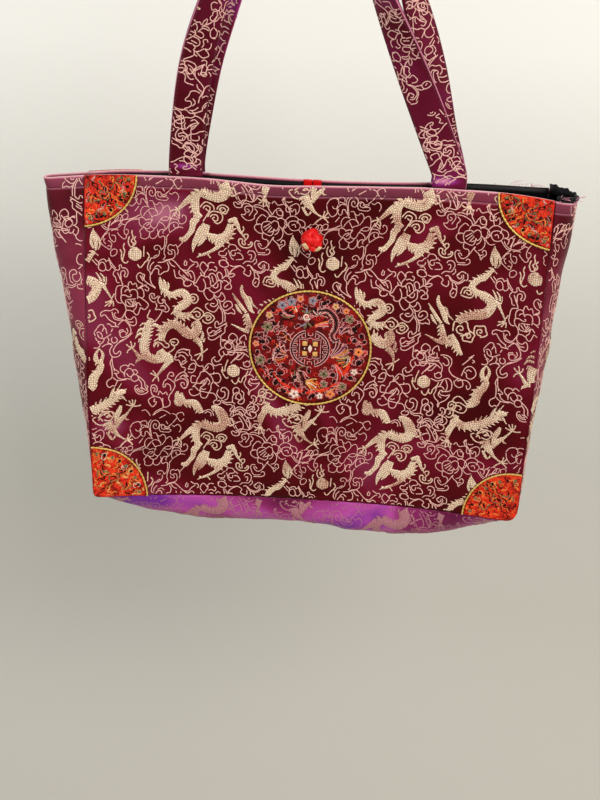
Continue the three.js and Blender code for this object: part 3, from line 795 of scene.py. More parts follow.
# %% The threads of the figures and seams
gold_thread = thread_material("gold_thread", "#f2d4b8", "#a86c60", 0.42, 0.2, 0.1)
pink_thread = thread_material("pale_pink_thread", "#f2c4b8", "#bc8078", 0.5, 0.0, 0.15)

scale_thread, tree, shader = new_material("gold_thread_in_scales")
cells = node(tree, "ShaderNodeTexVoronoi", {"feature": "DISTANCE_TO_EDGE"},
             Vector=cloth_map(tree, 5.3, 5.6), Scale=1.0, Randomness=0.45).outputs["Distance"]
bright = ramp(tree, cells, [(0.03, "#7c3830"), (0.11, "#dcbc9c"), (0.2, "#f6e2c4")])
dull = ramp(tree, cells, [(0.03, "#642828"), (0.13, "#b88070"), (0.24, "#deb898")])
in_scene = node(tree, "ShaderNodeTexCoord").outputs["Object"]
patches = node(tree, "ShaderNodeTexNoise", Vector=in_scene, Scale=38.0, Detail=2.0).outputs["Fac"]
share = ramp(tree, patches, [(0.48, "#000000"), (0.62, "#ffffff")])
scales = node(tree, "ShaderNodeMix", {"data_type": "RGBA"}, Factor=share, i6=bright, i7=dull).outputs[2]
set_shader(tree, shader, scales, Roughness=0.42, Metallic=0.2)
thread_bump(tree, shader, cells, 0.6, 0.0006)
brown_thread = thread_material("dark_crimson_sewing_thread", "#5a1626", "#2c0810", 0.6, 0.0, 0.1)
# The base's threads are the gold thread painted dimmer and pinker: painted shade where the base is seen at a
# grazing angle.
gold_with_painted_shade_of_the_base = thread_material("gold_thread_of_the_base_with_painted_shade", "#bc8088", "#743850", 0.5, 0.1, 0.05)


def brocade_on(ground, gold=gold_thread, scales=scale_thread, pink=pink_thread):
    """The materials of a brocade piece, in the order of the kinds of stroke."""
    return [ground, gold, pink, scales, brown_thread]


print("a brocade piece has", [material.name for material in brocade_on(panel_ground)])

# %% Lining and wadding
black_satin = woven_material("black_satin_lining", (4, 50), [(0.3, "#020203"), (0.7, "#09080a")],
                             0.2, 0.0003, Roughness=0.42, Specular_IOR_Level=0.15)
wadding, tree, shader = new_material("white_wadding")
in_scene = node(tree, "ShaderNodeTexCoord").outputs["Object"]
felt = node(tree, "ShaderNodeTexNoise", Vector=in_scene, Scale=900.0, Detail=4.0).outputs["Fac"]
set_shader(tree, shader, ramp(tree, felt, [(0.35, "#d9d2c2"), (0.65, "#f0ece0")]), Roughness=0.95)
thread_bump(tree, shader, felt, 0.5, 0.0008)

red_thread = thread_material("red_sewing_thread", "#cc1c2c", "#7c0c18", 0.6, 0.0, 0.2)
loose_thread = thread_material("loose_pink_thread", "#e8a0b8", "#b85c80", 0.6, 0.0, 0.3)
print("inner cloths", black_satin.name, wadding.name, "and threads", red_thread.name, loose_thread.name)

# %% [markdown]
# ## The brocade's drawing
# A brocade is drawn on squared point paper before it is woven. This one repeats every 174 mm
# across and 218 mm down. Its strokes were read off enlargements of the photograph. Scripts
# outside this file then turned those places into places on the flat cloth, moved them into one
# repeat, thinned them out and rounded them to half millimetres, so the numbers below are what
# those scripts wrote. Each stroke is a row of places, across and down, and slashes part the
# strokes. The first two drawings have a third number at each place, half the stroke's width.

# %% Dragons, clouds, flowers, leaves and vines
# The scaled bodies of the dragons
DRAGON_BODIES = """
170 -17 6 179 -17 8 191 -16 8 198 -6 7 202 3 7 / 221 -10 3 231 -8 7 241 2 10 246 14 10 244 26 10 233 33
10 221 32 9 209 28 9 201 23 8 / 202 23 8 193 35 9 192 50 9 195 63 7 202 70 6 / 209 98 5 220 102 7 234
107 12 245 102 11 252 89 9 253 78 6 / 133 201 5 141 208 6 151 211 7 160 207 7 170 205 7 178 212 7 179
222 8 172 230 8 163 235 8 159 242 9 164 249 8 175 249 7 185 246 6 / 191 259 9 196 268 9 194 280 9 185
286 9 174 282 10 165 273 10 154 266 10 143 269 9 134 279 9 131 290 8 131 298 6 / 127 316 8 134 326 10
144 331 9 147 340 6 / 136 330 10 125 335 8 114 335 8 103 329 8 98 318 8 98 305 9 102 291 9 105 277 9 108
266 7 111 258 3 / 365 132 4 361 136 4 356 143 5 350 150 6 343 153 6 336 158 7 331 165 7 333 172 7 341
177 7 351 179 7 359 183 8 366 189 8 369 197 8 366 206 8 359 214 9 349 218 9 337 219 9 327 222 9 318 227
9 312 233 8 / 302 258 6 307 268 8 312 276 8 318 286 6 324 294 3 / 283 241 5 286 251 6 289 262 7 295 272
7 302 276 7 / 19 -105 6 24 -94 6 21 -83 6 12 -75 10 9 -66 10 8 -56 9 0 -48 7 -7 -44 3 / -22 -25 5 -24
-16 8 -15 -8 9 -4 -6 9 8 -10 10 19 -12 10 29 -18 9 39 -25 9 48 -35 10 / 33 17 9 37 29 9 42 36 7
"""

# Legs, heads, manes and tails
DRAGON_LIMBS = """
193 30 8 183 38 7 172 48 5 162 58 3 / 250 74 4 259 71 6 265 78 5 269 88 3 276 98 2 280 103 1 / 236 115 7
227 124 4 216 131 3 205 136 3 198 138 2 / 170 -16 5 161 -23 8 158 -32 6 159 -40 2 / 173 -18 4 166 -30 5
167 -37 2 / 166 -13 4 157 -14 4 153 -23 2 / 199 73 3 190 80 6 186 93 6 179 103 5 172 110 6 164 108 3 /
209 80 4 202 93 8 197 105 8 190 118 5 188 132 1 / 215 82 4 209 100 6 202 113 5 197 121 1 / 195 73 4 187
75 4 184 85 2 / 257 70 3 262 67 3 266 72 1 / 133 201 5 131 191 5 129 179 2 / 137 201 4 138 192 4 135 183
1 / 141 203 4 144 195 3 143 188 1 / 101 330 5 91 329 5 84 320 3 77 312 2 / 144 337 7 136 347 5 128 357 3
121 367 2 / 191 292 8 199 300 6 203 310 3 204 320 2 / 99 302 3 92 295 2 89 302 1 / 100 286 3 90 286 3 84
294 1 / 102 277 3 93 277 3 87 284 1 / 104 268 3 98 266 2 92 271 1 / 99 309 3 93 309 2 92 316 1 / 115 268
4 123 270 4 130 277 2 / 92 332 4 86 337 3 84 341 1 / 203 294 3 205 284 3 203 277 1 / 206 298 3 209 291 1
/ 370 191 7 377 193 5 382 201 3 388 211 2 393 221 1 / 291 275 5 282 273 5 273 270 3 265 266 2 256 262 1
/ 363 91 1 360 104 3 359 116 3 363 126 2 / 363 94 1 365 107 4 367 119 4 367 130 2 / 364 96 1 371 109 3
374 121 2 371 129 1 / 375 186 3 371 177 2 366 169 1 / 380 187 3 379 179 2 373 171 1 / 382 192 2 384 185
1 383 178 1 / 275 188 2 274 197 4 277 205 5 283 214 6 288 225 6 292 235 4 298 239 1 / 283 209 2 290 211
2 294 222 2 304 231 1 / 258 204 1 266 216 3 274 228 4 283 239 3 / 264 224 2 269 234 3 276 242 1 / 266
219 1 261 213 1 / 48 -35 10 58 -41 7 65 -40 3 / 50 -45 2 54 -51 1 58 -58 1 / 58 -43 2 67 -46 1 / 39 -33
4 42 -43 3 46 -51 1 / 27 -25 2 31 -33 1 / 19 -21 2 22 -30 1 / 12 -19 2 13 -25 1 / 46 29 4 54 15 6 64 6 3
73 -6 2 77 -12 2 / 42 36 7 50 46 3 58 52 2 65 56 2 / -22 -18 7 -29 -4 7 -33 9 5 -35 23 2 / -31 -6 3 -38
6 3 -38 15 3 -34 19 1 / 56 -14 3 52 -2 6 47 11 5 46 27 3 / 58 -33 3 62 -28 2 66 -23 1 / 29 38 2 35 48 3
39 53 2 45 46 2 / 21 -127 1 15 -116 4 16 -104 5 19 -100 2 / 21 -127 1 27 -116 3 24 -102 4 / 58 6 3 66 15
2 70 15 1
"""

# Claws
DRAGON_CLAWS = """
162 58 154 59 148 62 / 161 59 158 64 155 70 / 163 59 165 66 164 70 / 162 58 157 53 / 274 92 277 85 275
81 / 205 136 198 134 / 202 137 195 141 / 212 132 219 141 / 77 312 71 308 68 304 / 77 311 77 305 75 299 /
78 312 82 308 83 302 / 76 313 71 316 69 321 / 121 367 115 364 109 361 / 121 367 117 371 113 377 / 122
367 124 373 124 377 / 120 364 114 356 / 204 320 197 322 190 325 / 203 321 198 328 195 333 / 204 322 204
329 203 335 / 204 320 210 315 214 311 / 393 221 386 224 381 225 / 392 223 386 228 380 232 / 393 223 390
229 387 233 / 394 223 395 228 395 233 / 391 219 395 214 397 210 / -35 24 -42 29 -48 25 / -35 25 -41 32
-46 35 / -35 26 -38 36 -38 42 / -35 26 -33 34 -30 41 / -34 25 -30 32 -26 33 / 76 -12 70 -13 65 -15 / 77
-12 72 -19 70 -23 / 77 -12 77 -19 76 -25 / 78 -12 81 -18 82 -24 / 78 -11 85 -11 92 -13 / 65 56 58 61 52
67 / 65 56 67 50 68 44 / 66 56 70 52 74 46 / 66 56 71 56 76 55 / 66 57 71 60 75 65
"""

# Gold clouds, flames and whiskers
CLOUD_LINES = """
201 52 205 46 211 42 224 49 225 55 / 206 54 209 49 214 49 218 52 216 58 210 54 / 218 56 206 76 / 230 54
232 49 240 45 245 46 250 51 248 56 244 61 239 59 / 234 55 236 51 241 50 245 54 242 58 238 58 235 54 /
238 54 239 54 / 214 68 218 61 222 58 230 58 238 61 240 68 238 74 231 79 225 76 / 218 68 222 64 229 64
232 69 230 74 225 74 222 70 226 68 / 276 99 279 95 284 95 284 100 278 108 280 111 279 114 274 112 275
105 269 104 268 109 270 115 276 119 285 119 291 115 292 109 289 108 289 112 284 114 / 82 96 81 101 83
107 82 113 80 113 82 119 86 119 / 77 107 75 113 75 120 79 126 83 124 83 119 / 88 107 85 112 88 118 83
125 / 68 119 66 126 68 133 64 149 / 60 130 63 137 62 144 65 150 / 102 124 101 143 / 107 135 111 142 107
149 / 62 145 64 151 70 155 74 151 / 90 157 94 163 99 159 104 152 110 149 / 111 240 106 255 112 257 119
262 / 182 212 187 209 193 210 197 216 194 224 189 226 184 222 / 183 216 188 214 191 216 189 221 185 219
/ 184 244 188 239 195 234 202 238 207 244 203 252 197 256 191 255 184 246 / 188 243 195 241 200 245 199
251 193 250 194 246 / 207 250 210 244 216 243 226 253 215 263 206 260 205 256 / 209 250 215 247 220 252
216 257 212 256 212 251 216 251 / 312 182 316 171 324 169 331 172 335 180 331 187 322 187 313 184 / 318
181 320 175 327 175 330 180 325 182 322 178 / 306 240 306 234 310 232 314 233 / 117 311 117 304 123 301
130 304 137 311 143 310 143 304 138 303 / 117 300 123 295 130 294 138 301 / 119 308 120 304 125 305 123
310 / 132 315 139 322 146 319 154 311 151 304 / 145 301 148 296 156 294 161 298 158 305 152 307 148 304
149 300 155 301 / 15 444 32 434 40 434 46 439 48 445 / 29 444 35 440 39 444 / 251 331 246 346 245 354
241 351 241 345 / 239 351 242 359 249 368 252 365 / 258 370 260 375 266 378 272 365 / 270 371 275 375
279 365 284 360 288 351 / 308 394 310 388 316 385 322 389 322 396 318 402 310 401 308 394 / 312 394 316
390 319 395 315 398 / 318 388 316 382 321 376 326 374 333 378 339 384 / 321 388 327 386 333 388 342 395
337 405 327 405 317 399 321 393 329 393 333 397 329 400 / 303 409 307 401 315 399 319 407 314 417 306
415 / 312 405 314 409 310 411 / 365 442 371 434 379 432 389 436 390 443 383 451 373 449 / 375 440 377
436 384 439 382 444 377 443 / 360 442 354 445 358 453 367 459 375 457 / 364 449 367 445 371 451
"""

# Flowers, leaves and vines of the upper left part of the repeat
FLOWERS_TOP_LEFT = """
110 55 104 54 99 58 97 64 98 70 101 74 / 101 74 95 74 94 79 95 86 100 90 102 88 / 101 73 105 77 111 77 /
102 71 104 67 114 58 120 58 125 62 127 67 126 69 120 70 117 73 / 111 62 117 73 / 113 44 118 44 124 60
127 63 / 119 48 126 51 128 48 132 47 135 51 136 57 129 68 / 136 57 142 52 145 52 148 58 147 73 143 71
137 72 132 76 129 81 / 147 73 144 77 137 78 132 76 / 128 81 124 90 120 92 115 89 114 83 118 77 / 102 90
107 93 112 92 114 88 / 104 92 107 96 113 99 119 96 121 92 / 102 90 95 98 97 104 96 108 101 111 106 111
111 107 112 101 / 113 99 112 105 115 110 120 110 125 105 127 99 126 93 / 102 87 107 83 112 82 / 105 79
112 76 116 77 / 107 88 113 83 / 117 75 115 82 / 71 86 76 80 83 76 94 75 / 70 88 73 83 83 78 94 77 / 70
88 68 94 68 101 71 105 75 101 74 95 70 95 / 70 87 64 85 61 79 69 68 74 68 75 71 73 76 69 77 / 64 86 55
93 42 94 / 58 96 52 95 45 97 / 56 100 60 106 68 112 71 110 72 105 / 24 81 35 94 42 95 / 29 81 32 87 38
92 42 93 / 40 90 44 76 39 74 36 80 35 76 / 45 88 48 83 58 76 57 70 52 68 48 70 / 45 86 56 80 / 41 92 46
73 / 42 95 35 101 27 115 30 121 36 126 42 130 45 127 42 123 39 124 / 40 100 33 105 31 112 / 35 110 32
115 36 120 / 42 100 42 106 45 113 51 117 53 111 51 105 46 105 / 40 114 46 119 45 126 / 112 56 108 50 105
32 93 27 / 110 51 108 29 112 20 118 18 124 23 124 30 119 36 114 33 114 27 118 25 119 30 / 105 30 105 23
110 17 / 102 27 101 20 95 19 88 23 / 104 33 98 31 92 35 89 42 95 51 98 48 98 43 101 40 108 50 / 81 35 83
39 88 39 90 33 / 130 26 125 29 124 35 126 40 133 42 143 42 146 38 142 36 130 36 128 31 132 27 135 31 139
32 148 25 / 133 32 138 35 144 32 / 148 29 152 31 158 27 163 31 164 37 161 43 / 140 26 137 20 / 149 24
158 14 161 19 165 21 170 15 / 125 14 137 7 / 158 14 154 7 148 5 / 149 71 148 79 140 94 139 88 133 82 129
81 / 148 99 146 90 149 83 155 80 161 81 163 86 160 90 155 88 155 83 / 148 79 155 64 / 149 74 162 76 165
82 171 82 176 77 176 70 173 67 169 68 170 71 / 155 64 158 69 164 74 / 158 64 163 68 165 74 / 147 99 160
90 167 88 171 90 / 146 101 142 107 142 115 137 135 139 142 135 148 / 139 106 137 125 132 130 / 139 94
132 94 128 100 128 106 131 108 135 105 138 106 139 111 / 139 94 135 99 137 101 / 132 130 130 124 125 122
120 125 121 130 126 129 / 129 131 128 139 120 145 114 145 / 125 139 118 143 / 144 133 145 137 151 137
150 132 145 130 144 124 148 120 154 122 158 120 162 132 160 138 / 150 129 155 130 155 143 137 149 / 162
124 177 107 / 50 129 44 133 45 142 52 140 55 132 50 129 / 12 139 18 136 23 140 / 93 435 99 433 105 439
108 445 / 113 444 129 434 137 436 145 442 / 156 444 160 440 167 439 170 445 / -23 34 -19 29 -13 36 -2 34
4 38 10 56 / -6 27 -2 21 0 31 12 48 / 8 38 19 32 24 36 23 48 17 54 / -15 46 -13 54 -6 56 -4 48 -11 46 /
12 48 17 42 19 52 / 8 57 2 63 0 71 8 75 / 8 57 16 56 23 61 21 69 / 6 73 8 67 19 65 27 73 23 81 12 82 6
75 / 0 73 -2 82 6 90 14 88 / 23 61 33 65 35 73 29 77 / 12 73 17 71 19 77 / 29 75 37 79 35 86 / 39 75 46
69 / 50 84 54 75 62 69 66 77 58 88 / 52 81 83 75 96 69 / 71 32 77 23 89 21 92 32 / 71 34 73 44 81 54 89
48 92 40 / 87 63 94 54
"""

# Flowers, leaves and vines of the upper right part of the repeat
FLOWERS_TOP_RIGHT = """
326 55 331 46 338 42 344 52 343 59 336 61 / 325 55 318 62 317 68 321 68 325 72 / 322 59 329 58 334 60
336 64 / 336 62 342 61 349 65 352 71 349 78 342 79 338 75 336 68 / 315 60 309 56 304 60 300 66 299 74
302 76 / 318 68 311 70 308 75 308 82 311 89 324 94 328 89 329 81 / 308 75 301 74 296 78 296 84 305 91
310 90 / 311 89 309 95 311 101 318 102 320 108 319 112 / 329 81 332 85 336 81 338 75 / 331 92 336 88 339
80 / 342 79 345 86 344 95 339 101 335 102 / 311 80 322 72 / 314 85 324 75 / 319 88 326 78 / 325 70 330
66 336 68 / 322 88 329 85 / 329 96 316 116 309 119 304 115 302 110 306 110 308 114 / 305 106 299 105 296
110 298 119 302 126 315 126 / 302 130 318 129 323 125 322 120 318 119 316 122 / 330 96 328 100 338 110
341 119 343 114 349 109 348 102 344 101 342 106 / 336 110 342 110 345 108 / 326 55 319 44 / 322 59 318
51 310 46 302 43 294 43 / 319 44 320 38 318 31 314 29 316 34 314 39 308 40 300 38 294 40 / 294 42 286 42
279 44 279 52 284 54 286 50 282 48 / 272 44 276 39 284 38 289 41 292 48 286 60 / 280 55 278 59 272 59
275 64 282 69 290 68 295 64 295 59 300 52 295 46 / 272 36 276 32 290 34 296 30 300 22 / 290 34 294 28
295 21 292 18 / 266 35 272 39 274 44 269 47 262 46 259 41 259 38 264 38 266 41 270 39 / 266 25 268 31
274 38 / 262 26 265 32 / 256 21 260 25 269 19 274 18 / 300 22 306 21 310 25 311 19 / 250 8 258 15 265 18
/ 272 8 278 16 / 290 8 286 15 292 18 / 308 8 310 14 300 15 / 250 121 252 116 259 115 264 118 265 124 256
126 / 248 122 244 124 241 128 236 128 233 132 236 136 241 136 246 135 247 130 / 256 126 254 131 258 135
262 134 262 129 / 250 125 256 140 260 142 / 265 130 270 130 275 135 276 140 264 142 / 266 121 272 126 /
238 139 245 139 248 144 / 284 129 286 125 294 125 298 131 296 139 292 144 282 144 276 149 / 286 132 290
131 291 136 289 140 / 299 138 300 144 295 149 / 348 21 344 25 345 32 350 38 349 42 351 48 358 48 / 350
29 355 30 360 28 / 356 38 356 42 360 41 / 358 15 359 20 / 270 440 274 435 280 442 / 204 439 210 434 218
432 224 439 225 444 / 209 440 214 436 220 440 220 445 / 256 443 260 434 271 432 281 440 / 258 445 271
438 281 447 292 467 292 453 287 443 / 267 457 277 453 281 463 275 474
"""

# Flowers, leaves and vines of the middle left part of the repeat
FLOWERS_MIDDLE_LEFT = """
23 156 24 150 29 147 33 147 36 152 / 23 157 23 163 29 168 33 167 35 164 33 155 30 152 26 153 23 158 / 36
152 39 149 42 152 43 158 / 35 165 39 168 43 165 45 160 / 12 146 21 157 / 17 145 23 152 / 43 158 51 166
56 168 / 40 145 45 155 52 164 / 56 168 59 165 58 159 61 158 63 163 69 164 73 169 73 175 70 180 66 178 68
175 68 170 65 168 61 171 61 184 / 52 167 48 172 48 177 51 180 54 190 58 190 / 55 172 60 185 / 61 175 60
181 64 195 / 64 195 54 197 51 212 51 220 56 227 61 227 / 61 203 63 199 68 196 73 199 74 202 / 61 203 61
212 / 73 197 74 191 77 188 81 194 86 191 89 199 / 67 207 69 204 74 203 76 208 / 75 206 79 203 85 203 89
208 89 220 / 89 202 93 200 98 202 100 216 95 219 / 61 213 68 213 73 216 77 216 79 213 76 212 / 61 213 60
219 62 225 67 231 69 241 / 69 221 68 227 71 233 77 234 / 71 221 86 220 / 71 224 77 231 / 76 222 81 228 /
83 222 79 233 / 86 224 81 233 / 90 216 96 219 108 230 107 234 101 240 94 236 / 94 236 88 250 83 247 82
241 86 237 88 228 90 227 95 233 / 77 234 82 234 88 227 / 69 241 75 241 81 244 / 90 201 99 193 92 189 88
182 89 176 94 172 99 175 102 175 101 185 107 191 121 200 / 94 177 99 187 / 98 177 100 184 / 93 200 105
194 104 197 109 200 108 205 105 205 102 202 / 114 145 108 159 108 166 112 171 112 184 115 193 121 199 /
119 152 113 159 112 166 / 114 175 117 168 121 164 127 166 127 174 130 175 136 170 143 168 145 160 142
152 / 120 162 126 158 132 163 / 126 153 135 152 150 147 155 150 167 164 / 145 150 150 157 156 160 / 154
165 158 180 165 180 171 184 171 191 175 195 180 194 / 164 166 163 172 179 185 / 167 163 180 176 / 119
215 118 210 113 210 110 215 112 222 118 226 121 224 / 114 213 115 218 119 219 126 214 / 129 214 125 221
127 227 132 228 135 224 132 221 / 133 220 137 221 138 227 145 237 142 243 137 243 133 239 / 129 233 135
232 139 237 137 239 / 121 227 123 233 120 240 126 239 132 241 129 249 119 263 / 69 241 60 256 55 256 49
252 48 247 51 245 / 67 244 67 251 71 257 77 258 82 253 85 256 86 266 82 270 77 269 71 264 / 67 257 74
263 81 263 / 36 240 31 240 25 244 26 250 31 247 40 258 50 265 / 36 240 42 241 48 238 54 241 55 246 / 44
243 48 256 55 259 64 258 / 50 263 50 268 55 272 / 54 268 64 259 71 265 76 275 76 282 71 288 60 291 57
284 61 280 65 280 68 283 / 56 283 57 278 64 277 / 69 274 71 281 67 287 / 14 277 24 265 29 266 30 270 /
13 278 15 285 / 35 265 39 265 44 271 / 30 270 33 274 35 283 / 27 278 30 271 / 45 274 42 280 / 44 270 52
271 / 17 280 21 278 26 283 27 289 / 19 282 21 288 29 291 42 284
"""

# Flowers, leaves and vines of the middle right part of the repeat
FLOWERS_MIDDLE_RIGHT = """
235 150 236 145 244 144 250 149 / 305 149 308 144 312 142 319 145 / 215 159 210 152 205 149 201 155 200
159 208 172 / 215 159 215 152 220 149 226 150 / 216 164 222 162 228 165 230 159 226 156 / 215 160 209
168 208 174 210 177 / 208 175 202 174 193 188 / 201 168 203 174 / 210 177 214 175 218 180 / 218 180 216
174 221 169 227 172 231 184 / 221 174 224 185 / 206 180 210 190 210 196 215 197 219 195 / 219 181 219
188 221 193 231 184 / 222 191 227 196 232 193 232 187 / 231 183 237 181 241 185 / 237 182 237 197 230
203 225 205 216 199 / 230 170 234 166 239 170 240 176 / 230 170 234 181 / 193 188 188 190 197 197 196
200 200 203 205 203 210 197 / 210 197 207 203 208 209 216 219 222 216 225 212 225 205 / 226 209 231 213
237 208 238 203 245 214 241 220 237 220 232 216 / 239 178 246 172 246 165 244 160 247 160 250 165 250
171 / 247 174 256 168 262 169 257 174 250 174 / 252 169 258 160 / 241 181 247 182 251 187 246 191 244
196 255 196 256 191 253 185 255 181 251 176 / 234 145 235 153 244 157 251 153 247 147 / 253 153 260 155
270 153 277 156 280 160 277 165 281 169 287 171 290 166 289 160 / 253 166 258 160 272 152 / 283 152 288
151 293 159 299 163 308 164 318 156 / 290 152 295 158 307 162 312 158 315 151 313 147 / 309 156 305 153
303 149 307 145 / 309 155 312 152 310 149 / 321 145 322 155 319 158 / 296 163 297 174 294 180 295 187
301 190 305 177 301 174 297 174 / 301 165 305 172 303 176 / 300 180 297 184 / 170 166 176 170 184 166
188 169 191 183 188 187 / 177 168 183 174 185 180 / 170 174 177 181 193 189 / 174 184 171 190 176 195
183 193 185 189 / 170 165 177 166 184 158 191 153 / 175 147 172 155 176 157 177 149 / 182 145 189 150
195 150 197 156 194 159 / 225 212 232 222 230 228 224 231 218 227 221 225 226 225 / 215 225 210 228 212
235 225 241 231 235 234 228 / 235 219 237 228 241 235 247 237 253 233 258 228 256 221 250 219 243 224
243 230 247 230 250 226 / 243 239 249 243 256 241 262 243 262 237 258 233 / 235 231 240 240 241 259 /
241 234 245 246 245 258 / 241 259 234 264 232 258 228 260 227 268 230 271 249 260 / 244 263 249 265 245
270 245 278 238 285 238 295 / 238 271 228 278 224 276 220 280 215 282 213 277 216 271 221 271 / 239 275
232 280 225 281 / 214 283 218 287 230 283 / 253 293 252 287 258 280 265 283 268 289 266 295 / 272 291
274 287 281 282 284 291
"""

# Flowers, leaves and vines of the lower left part of the repeat
FLOWERS_LOW_LEFT = """
15 288 19 295 24 297 / 79 283 71 291 56 300 / 12 307 18 308 23 303 19 297 / 24 301 29 296 30 290 / 26
307 32 303 38 302 44 305 / 36 290 38 295 36 300 42 302 / 44 290 42 295 46 301 52 298 51 292 48 290 / 44
305 39 314 40 322 43 327 39 338 41 346 41 367 35 371 32 376 34 383 38 385 42 382 46 383 51 373 / 67 294
60 296 54 301 48 308 45 315 48 321 52 320 56 316 58 319 57 323 51 327 43 327 / 42 328 45 348 54 357 50
359 45 358 / 45 348 46 354 / 48 359 52 367 60 371 67 370 74 372 / 43 366 50 372 67 372 / 64 366 62 359
57 354 57 347 62 344 69 345 70 348 / 70 348 74 342 81 346 / 64 361 64 357 68 352 74 351 80 361 77 364 /
79 354 83 354 87 359 83 363 / 75 371 76 366 82 363 87 366 88 372 83 376 79 376 75 372 / 67 360 71 366 76
367 / 87 366 94 372 99 379 100 388 104 392 / 88 372 93 379 94 388 102 395 / 87 384 82 386 82 394 88 401
94 402 101 400 105 396 102 391 105 388 102 384 / 86 389 90 394 96 394 / 83 390 89 397 98 397 / 90 389 95
391 / 112 384 110 390 113 404 127 410 130 416 / 111 385 117 384 121 389 121 397 118 398 / 113 391 115
389 118 392 115 397 / 117 407 110 409 105 415 113 427 120 417 115 417 117 411 / 123 404 126 396 130 401
133 402 137 398 140 404 / 130 416 132 428 119 436 113 444 / 131 410 133 428 143 425 145 419 142 411 144
404 / 140 370 152 379 154 385 149 397 144 404 / 140 370 142 363 146 359 151 361 151 367 146 366 / 140
372 135 376 132 384 133 389 137 386 136 383 140 382 145 385 146 395 / 154 378 155 371 163 361 171 357
173 350 167 348 161 335 155 335 154 330 158 329 / 154 329 158 320 163 315 171 313 179 314 / 161 329 164
325 171 328 174 334 168 338 167 344 177 336 / 160 321 170 319 179 326 / 156 376 163 372 171 372 176 378
175 388 171 391 165 385 165 380 170 379 171 384 / 163 369 170 364 179 367 / 170 365 178 375 176 386 170
391
"""

# Flowers, leaves and vines of the lower right part of the repeat
FLOWERS_LOW_RIGHT = """
215 288 216 293 224 294 237 285 / 240 293 245 293 249 296 253 293 260 294 / 238 290 238 306 244 309 /
240 296 245 294 249 296 245 301 / 244 304 250 298 256 301 258 306 254 311 249 311 244 305 / 256 300 265
290 / 248 298 255 296 261 302 262 309 / 262 309 264 314 258 322 252 320 250 314 / 241 309 235 314 235
321 240 326 244 321 / 242 315 244 320 248 322 252 320 / 265 295 268 301 265 306 275 308 281 304 280 295
/ 272 295 275 299 276 294 / 264 309 272 312 286 309 / 268 315 269 321 262 332 / 279 315 266 329 272 330
281 319 / 228 326 222 331 222 339 228 344 235 341 240 341 / 226 331 229 336 235 334 239 329 239 325 /
170 312 176 315 181 314 181 322 185 328 184 334 190 334 194 342 200 346 205 345 206 349 / 179 351 182
344 189 340 192 345 189 356 185 359 178 358 / 178 352 188 352 / 171 358 176 364 175 368 / 205 354 216
340 224 345 225 351 / 206 355 214 349 215 345 / 210 355 201 358 199 365 195 371 194 379 200 380 / 210
355 221 366 224 375 220 382 220 390 216 398 / 216 361 224 360 226 356 / 220 361 234 359 238 368 236 375
230 378 224 375 / 224 375 235 385 / 192 366 185 365 184 378 194 379 / 194 379 186 388 190 386 195 392
200 395 / 186 392 180 394 182 402 188 405 200 399 200 395 / 200 395 201 388 208 382 214 368 210 371 206
378 200 380 / 214 370 218 376 215 382 / 200 395 216 398 / 201 400 201 406 206 409 211 408 216 398 / 202
390 206 392 211 390 / 201 378 208 372 / 205 382 211 378 / 216 398 225 399 230 405 231 411 / 234 390 231
399 235 406 241 408 246 402 245 395 239 394 239 389 244 386 252 392 252 402 250 409 245 411 / 239 411
249 416 260 415 265 418 / 231 411 225 415 226 420 232 421 238 418 236 412 232 414 / 240 415 250 420 258
420 260 425 256 429 256 434 261 431 264 425 262 420 / 260 415 261 402 268 395 272 395 266 402 268 409
265 406 / 262 400 261 389 266 385 272 388 272 394 / 276 391 281 396 280 404 282 409 280 416 274 418 270
415 279 406 / 272 395 276 402 275 410 269 408 / 299 364 294 359 285 361 284 369 281 376 285 384 290 389
289 396 291 400 292 392 302 385 309 375 309 372 / 309 374 301 376 292 374 291 368 295 366 296 370 / 290
370 289 376 295 381 / 296 406 295 401 300 400 305 408 300 416 306 419 309 425 305 432 299 434 295 431 /
299 406 298 412 289 421 286 432 291 439 296 442 / 289 426 295 422 301 424 301 429 296 428 / 286 432 276
424 269 425 262 435 262 442 / 265 436 270 429 278 429 282 435 / 252 315 281 311 290 317 292 326 290 336
/ 252 317 279 317 289 324 / 287 299 296 298 306 303 308 313 304 324 310 334 317 338 / 292 301 300 305
303 315 298 318 292 313 / 271 290 273 297 267 303 285 305 / 273 320 264 328 256 338 / 281 336 287 332
292 338 289 343 281 342 279 334 / 273 345 285 349 304 342 310 347 312 357 310 365 300 368 294 367 / 290
359 296 345 / 300 345 304 357 302 367 / 327 334 333 318 342 314 350 320 352 330 344 338 337 336 335 328
331 326 / 335 324 339 321 344 324 / 317 345 323 340 329 343 331 353 325 357 317 353 315 345 / 321 345
329 342 339 343 345 353 340 359 337 351 / 304 326 312 336 323 340 / 327 313 344 295 / 344 301 348 305
344 307 / 337 299 346 292 / 292 413 298 415 300 422 294 428 287 432 283 440 290 445 300 445 305 438 298
432 292 434 294 440
"""

print("strokes:", DRAGON_BODIES.count("/") + 1, "of bodies,", DRAGON_LIMBS.count("/") + 1, "of limbs,",
      DRAGON_CLAWS.count("/") + 1, "of claws,", CLOUD_LINES.count("/") + 1, "of clouds")

# %% Strokes of the drawing as curves
GOLD, PINK, SCALES, TOPSTITCH = 1, 2, 3, 4     # places in brocade_on's list, after the ground
REPEAT_X, REPEAT_D = 174.0, 218.0              # in mm
GRID = 0.5                                     # the drawing's unit in mm
STROKE_STEP = 1.15


def drawn(text, kind, half_width=None):
    """The strokes of a drawing as (places with half-widths in mm, kind of thread)."""
    strokes = []
    for part in text.split("/"):
        numbers = np.array(part.split(), float) * GRID
        if half_width is None:
            points = numbers.reshape(-1, 3) * (1, 1, 0.8)
        else:
            points = numbers.reshape(-1, 2)
            points = np.column_stack([points, np.full(len(points), half_width)])
        strokes.append((curve_through(points, STROKE_STEP), kind))
    return strokes


